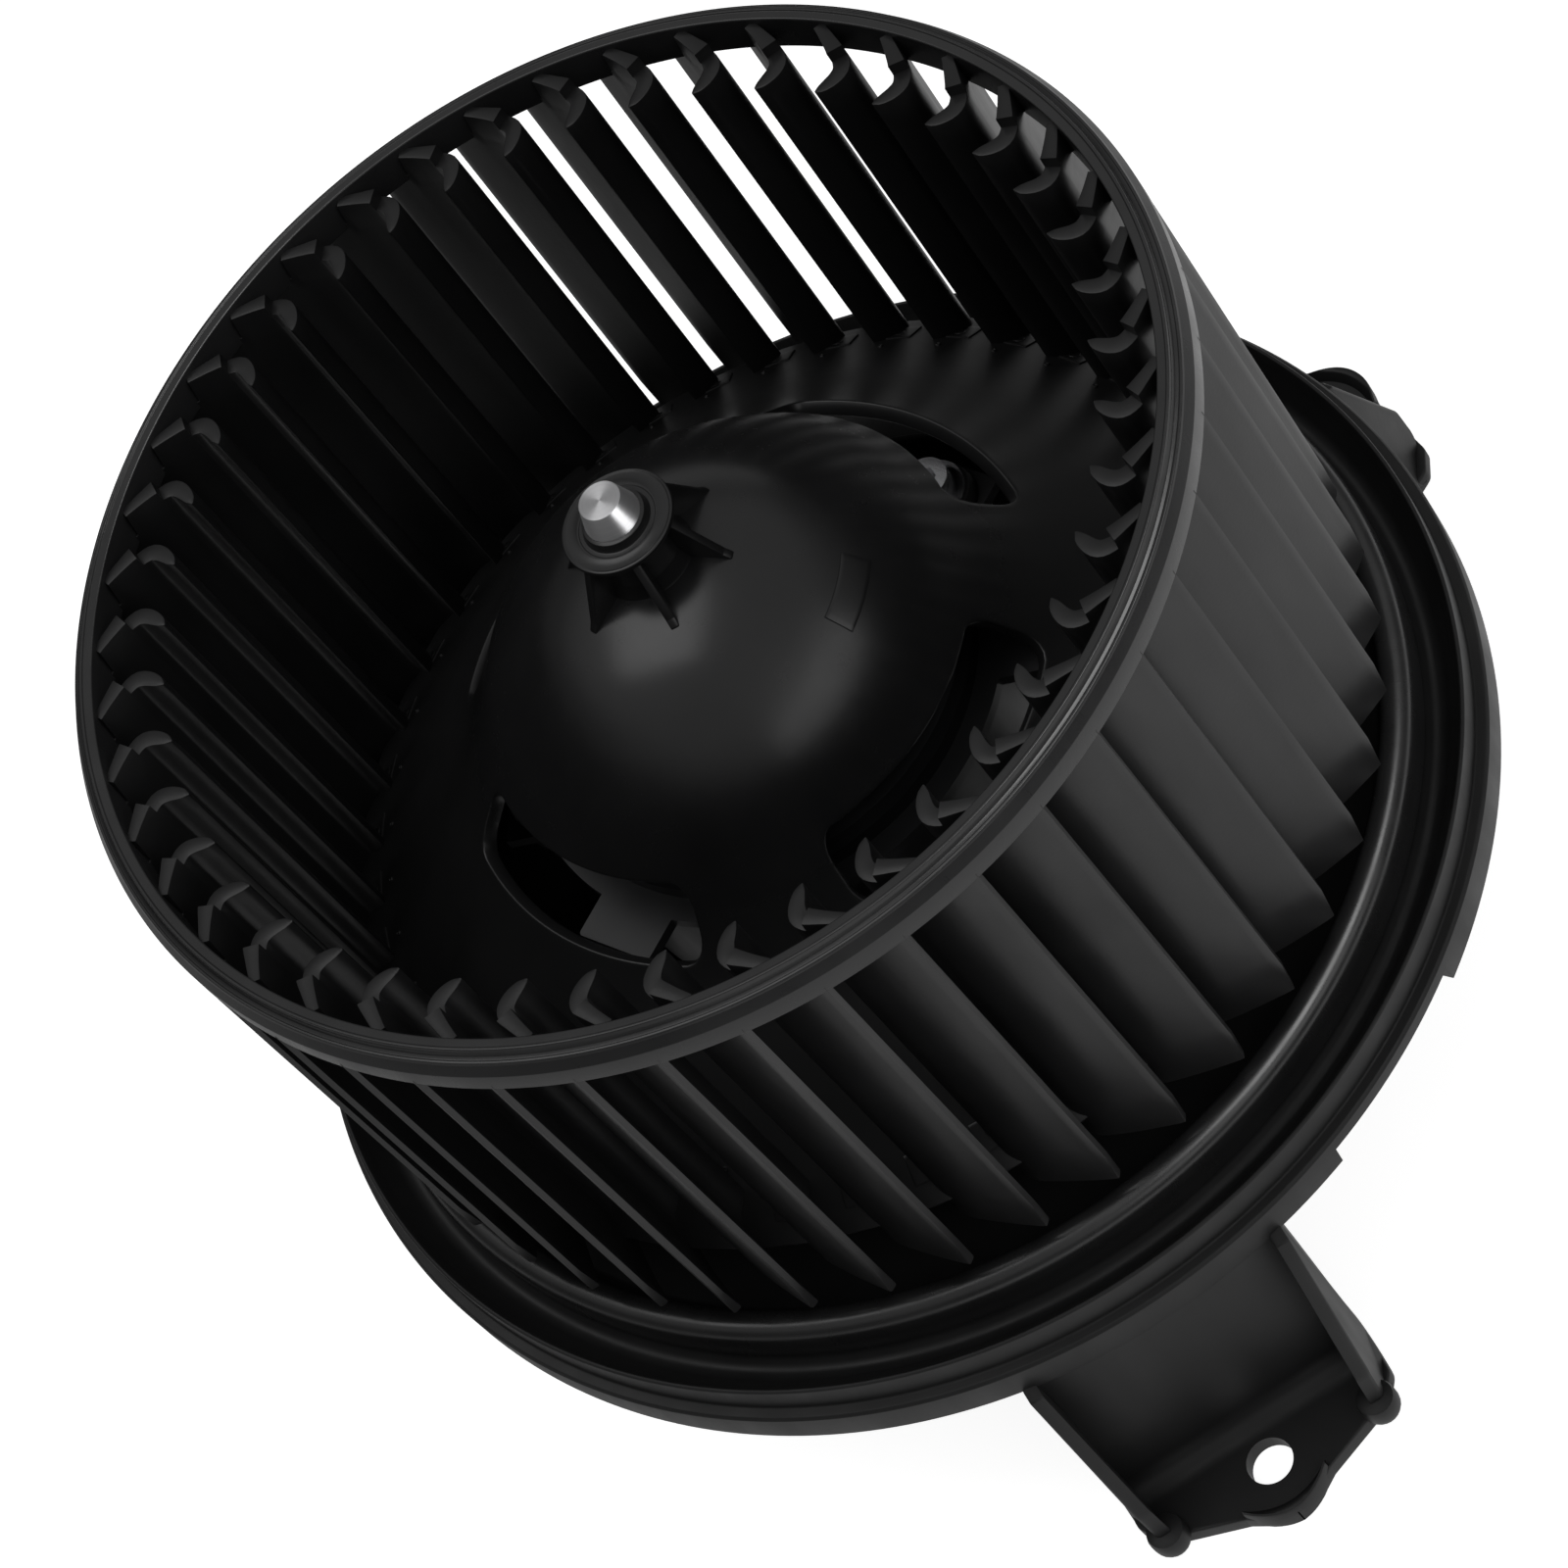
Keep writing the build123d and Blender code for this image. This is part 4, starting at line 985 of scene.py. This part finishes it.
world = bpy.data.worlds.new("studio")
SCENE.world = world
world.use_nodes = True
sky, sky_links = world.node_tree.nodes, world.node_tree.links
split = sky.new("ShaderNodeSeparateXYZ")
sky_links.new(sky.new("ShaderNodeTexCoord").outputs["Generated"], split.inputs["Vector"])
ceiling = sky.new("ShaderNodeMapRange")
ceiling.interpolation_type = "SMOOTHSTEP"
ceiling.inputs["From Min"].default_value = 0.40
ceiling.inputs["From Max"].default_value = 0.64
ceiling.inputs["To Min"].default_value = 0.10
ceiling.inputs["To Max"].default_value = 0.42
sky_links.new(split.outputs["Z"], ceiling.inputs["Value"])
behind = sky.new("ShaderNodeMapRange")
behind.interpolation_type = "SMOOTHSTEP"
behind.inputs["From Min"].default_value = 0.62
behind.inputs["From Max"].default_value = 0.90
behind.inputs["To Min"].default_value = 0.64
behind.inputs["To Max"].default_value = 0.76
sky_links.new(split.outputs["Y"], behind.inputs["Value"])
sky_links.new(behind.outputs["Result"], ceiling.inputs["From Max"])
start = sky.new("ShaderNodeMath")
start.operation = "SUBTRACT"
start.inputs[1].default_value = 0.24
sky_links.new(behind.outputs["Result"], start.inputs[0])
sky_links.new(start.outputs["Value"], ceiling.inputs["From Min"])
pale_sky = sky.new("ShaderNodeMath")
pale_sky.operation = "MAXIMUM"
sky_links.new(ceiling.outputs["Result"], pale_sky.inputs[0])
sky_links.new(sky.new("ShaderNodeLightPath").outputs["Is Camera Ray"], pale_sky.inputs[1])
sky_links.new(pale_sky.outputs["Value"], sky["Background"].inputs["Strength"])
sky["Background"].inputs["Color"].default_value = (1, 1, 1, 1)
SCENE.view_settings.view_transform = "Standard"

# ---------------------------------------------------------------- camera
LENS = 123.75
CAMERA_TURN, CAMERA_TILT, CAMERA_ROLL = 10.0, 38.780, -41.139
CAMERA_BACK, CAMERA_SIDE, CAMERA_DOWN = 0.65288, 0.02071, -0.03237
camera_data = bpy.data.cameras.new("camera")
camera_data.lens = LENS
camera_data.sensor_width = 36.0
camera = bpy.data.objects.new("camera", camera_data)
turn = (Matrix.Rotation(math.radians(CAMERA_TURN), 3, "Z") @ Matrix.Rotation(math.radians(CAMERA_TILT), 3, "X")
        @ Matrix.Rotation(math.radians(CAMERA_ROLL), 3, "Z"))
camera.rotation_mode = "QUATERNION"
camera.rotation_quaternion = turn.to_quaternion()
camera.location = Vector((0, 0, BLADE_TOP * MM)) + turn @ Vector((CAMERA_SIDE, CAMERA_DOWN, CAMERA_BACK))
camera_data.clip_start, camera_data.clip_end = 0.05, 30.0
SCENE.collection.objects.link(camera)
SCENE.camera = camera
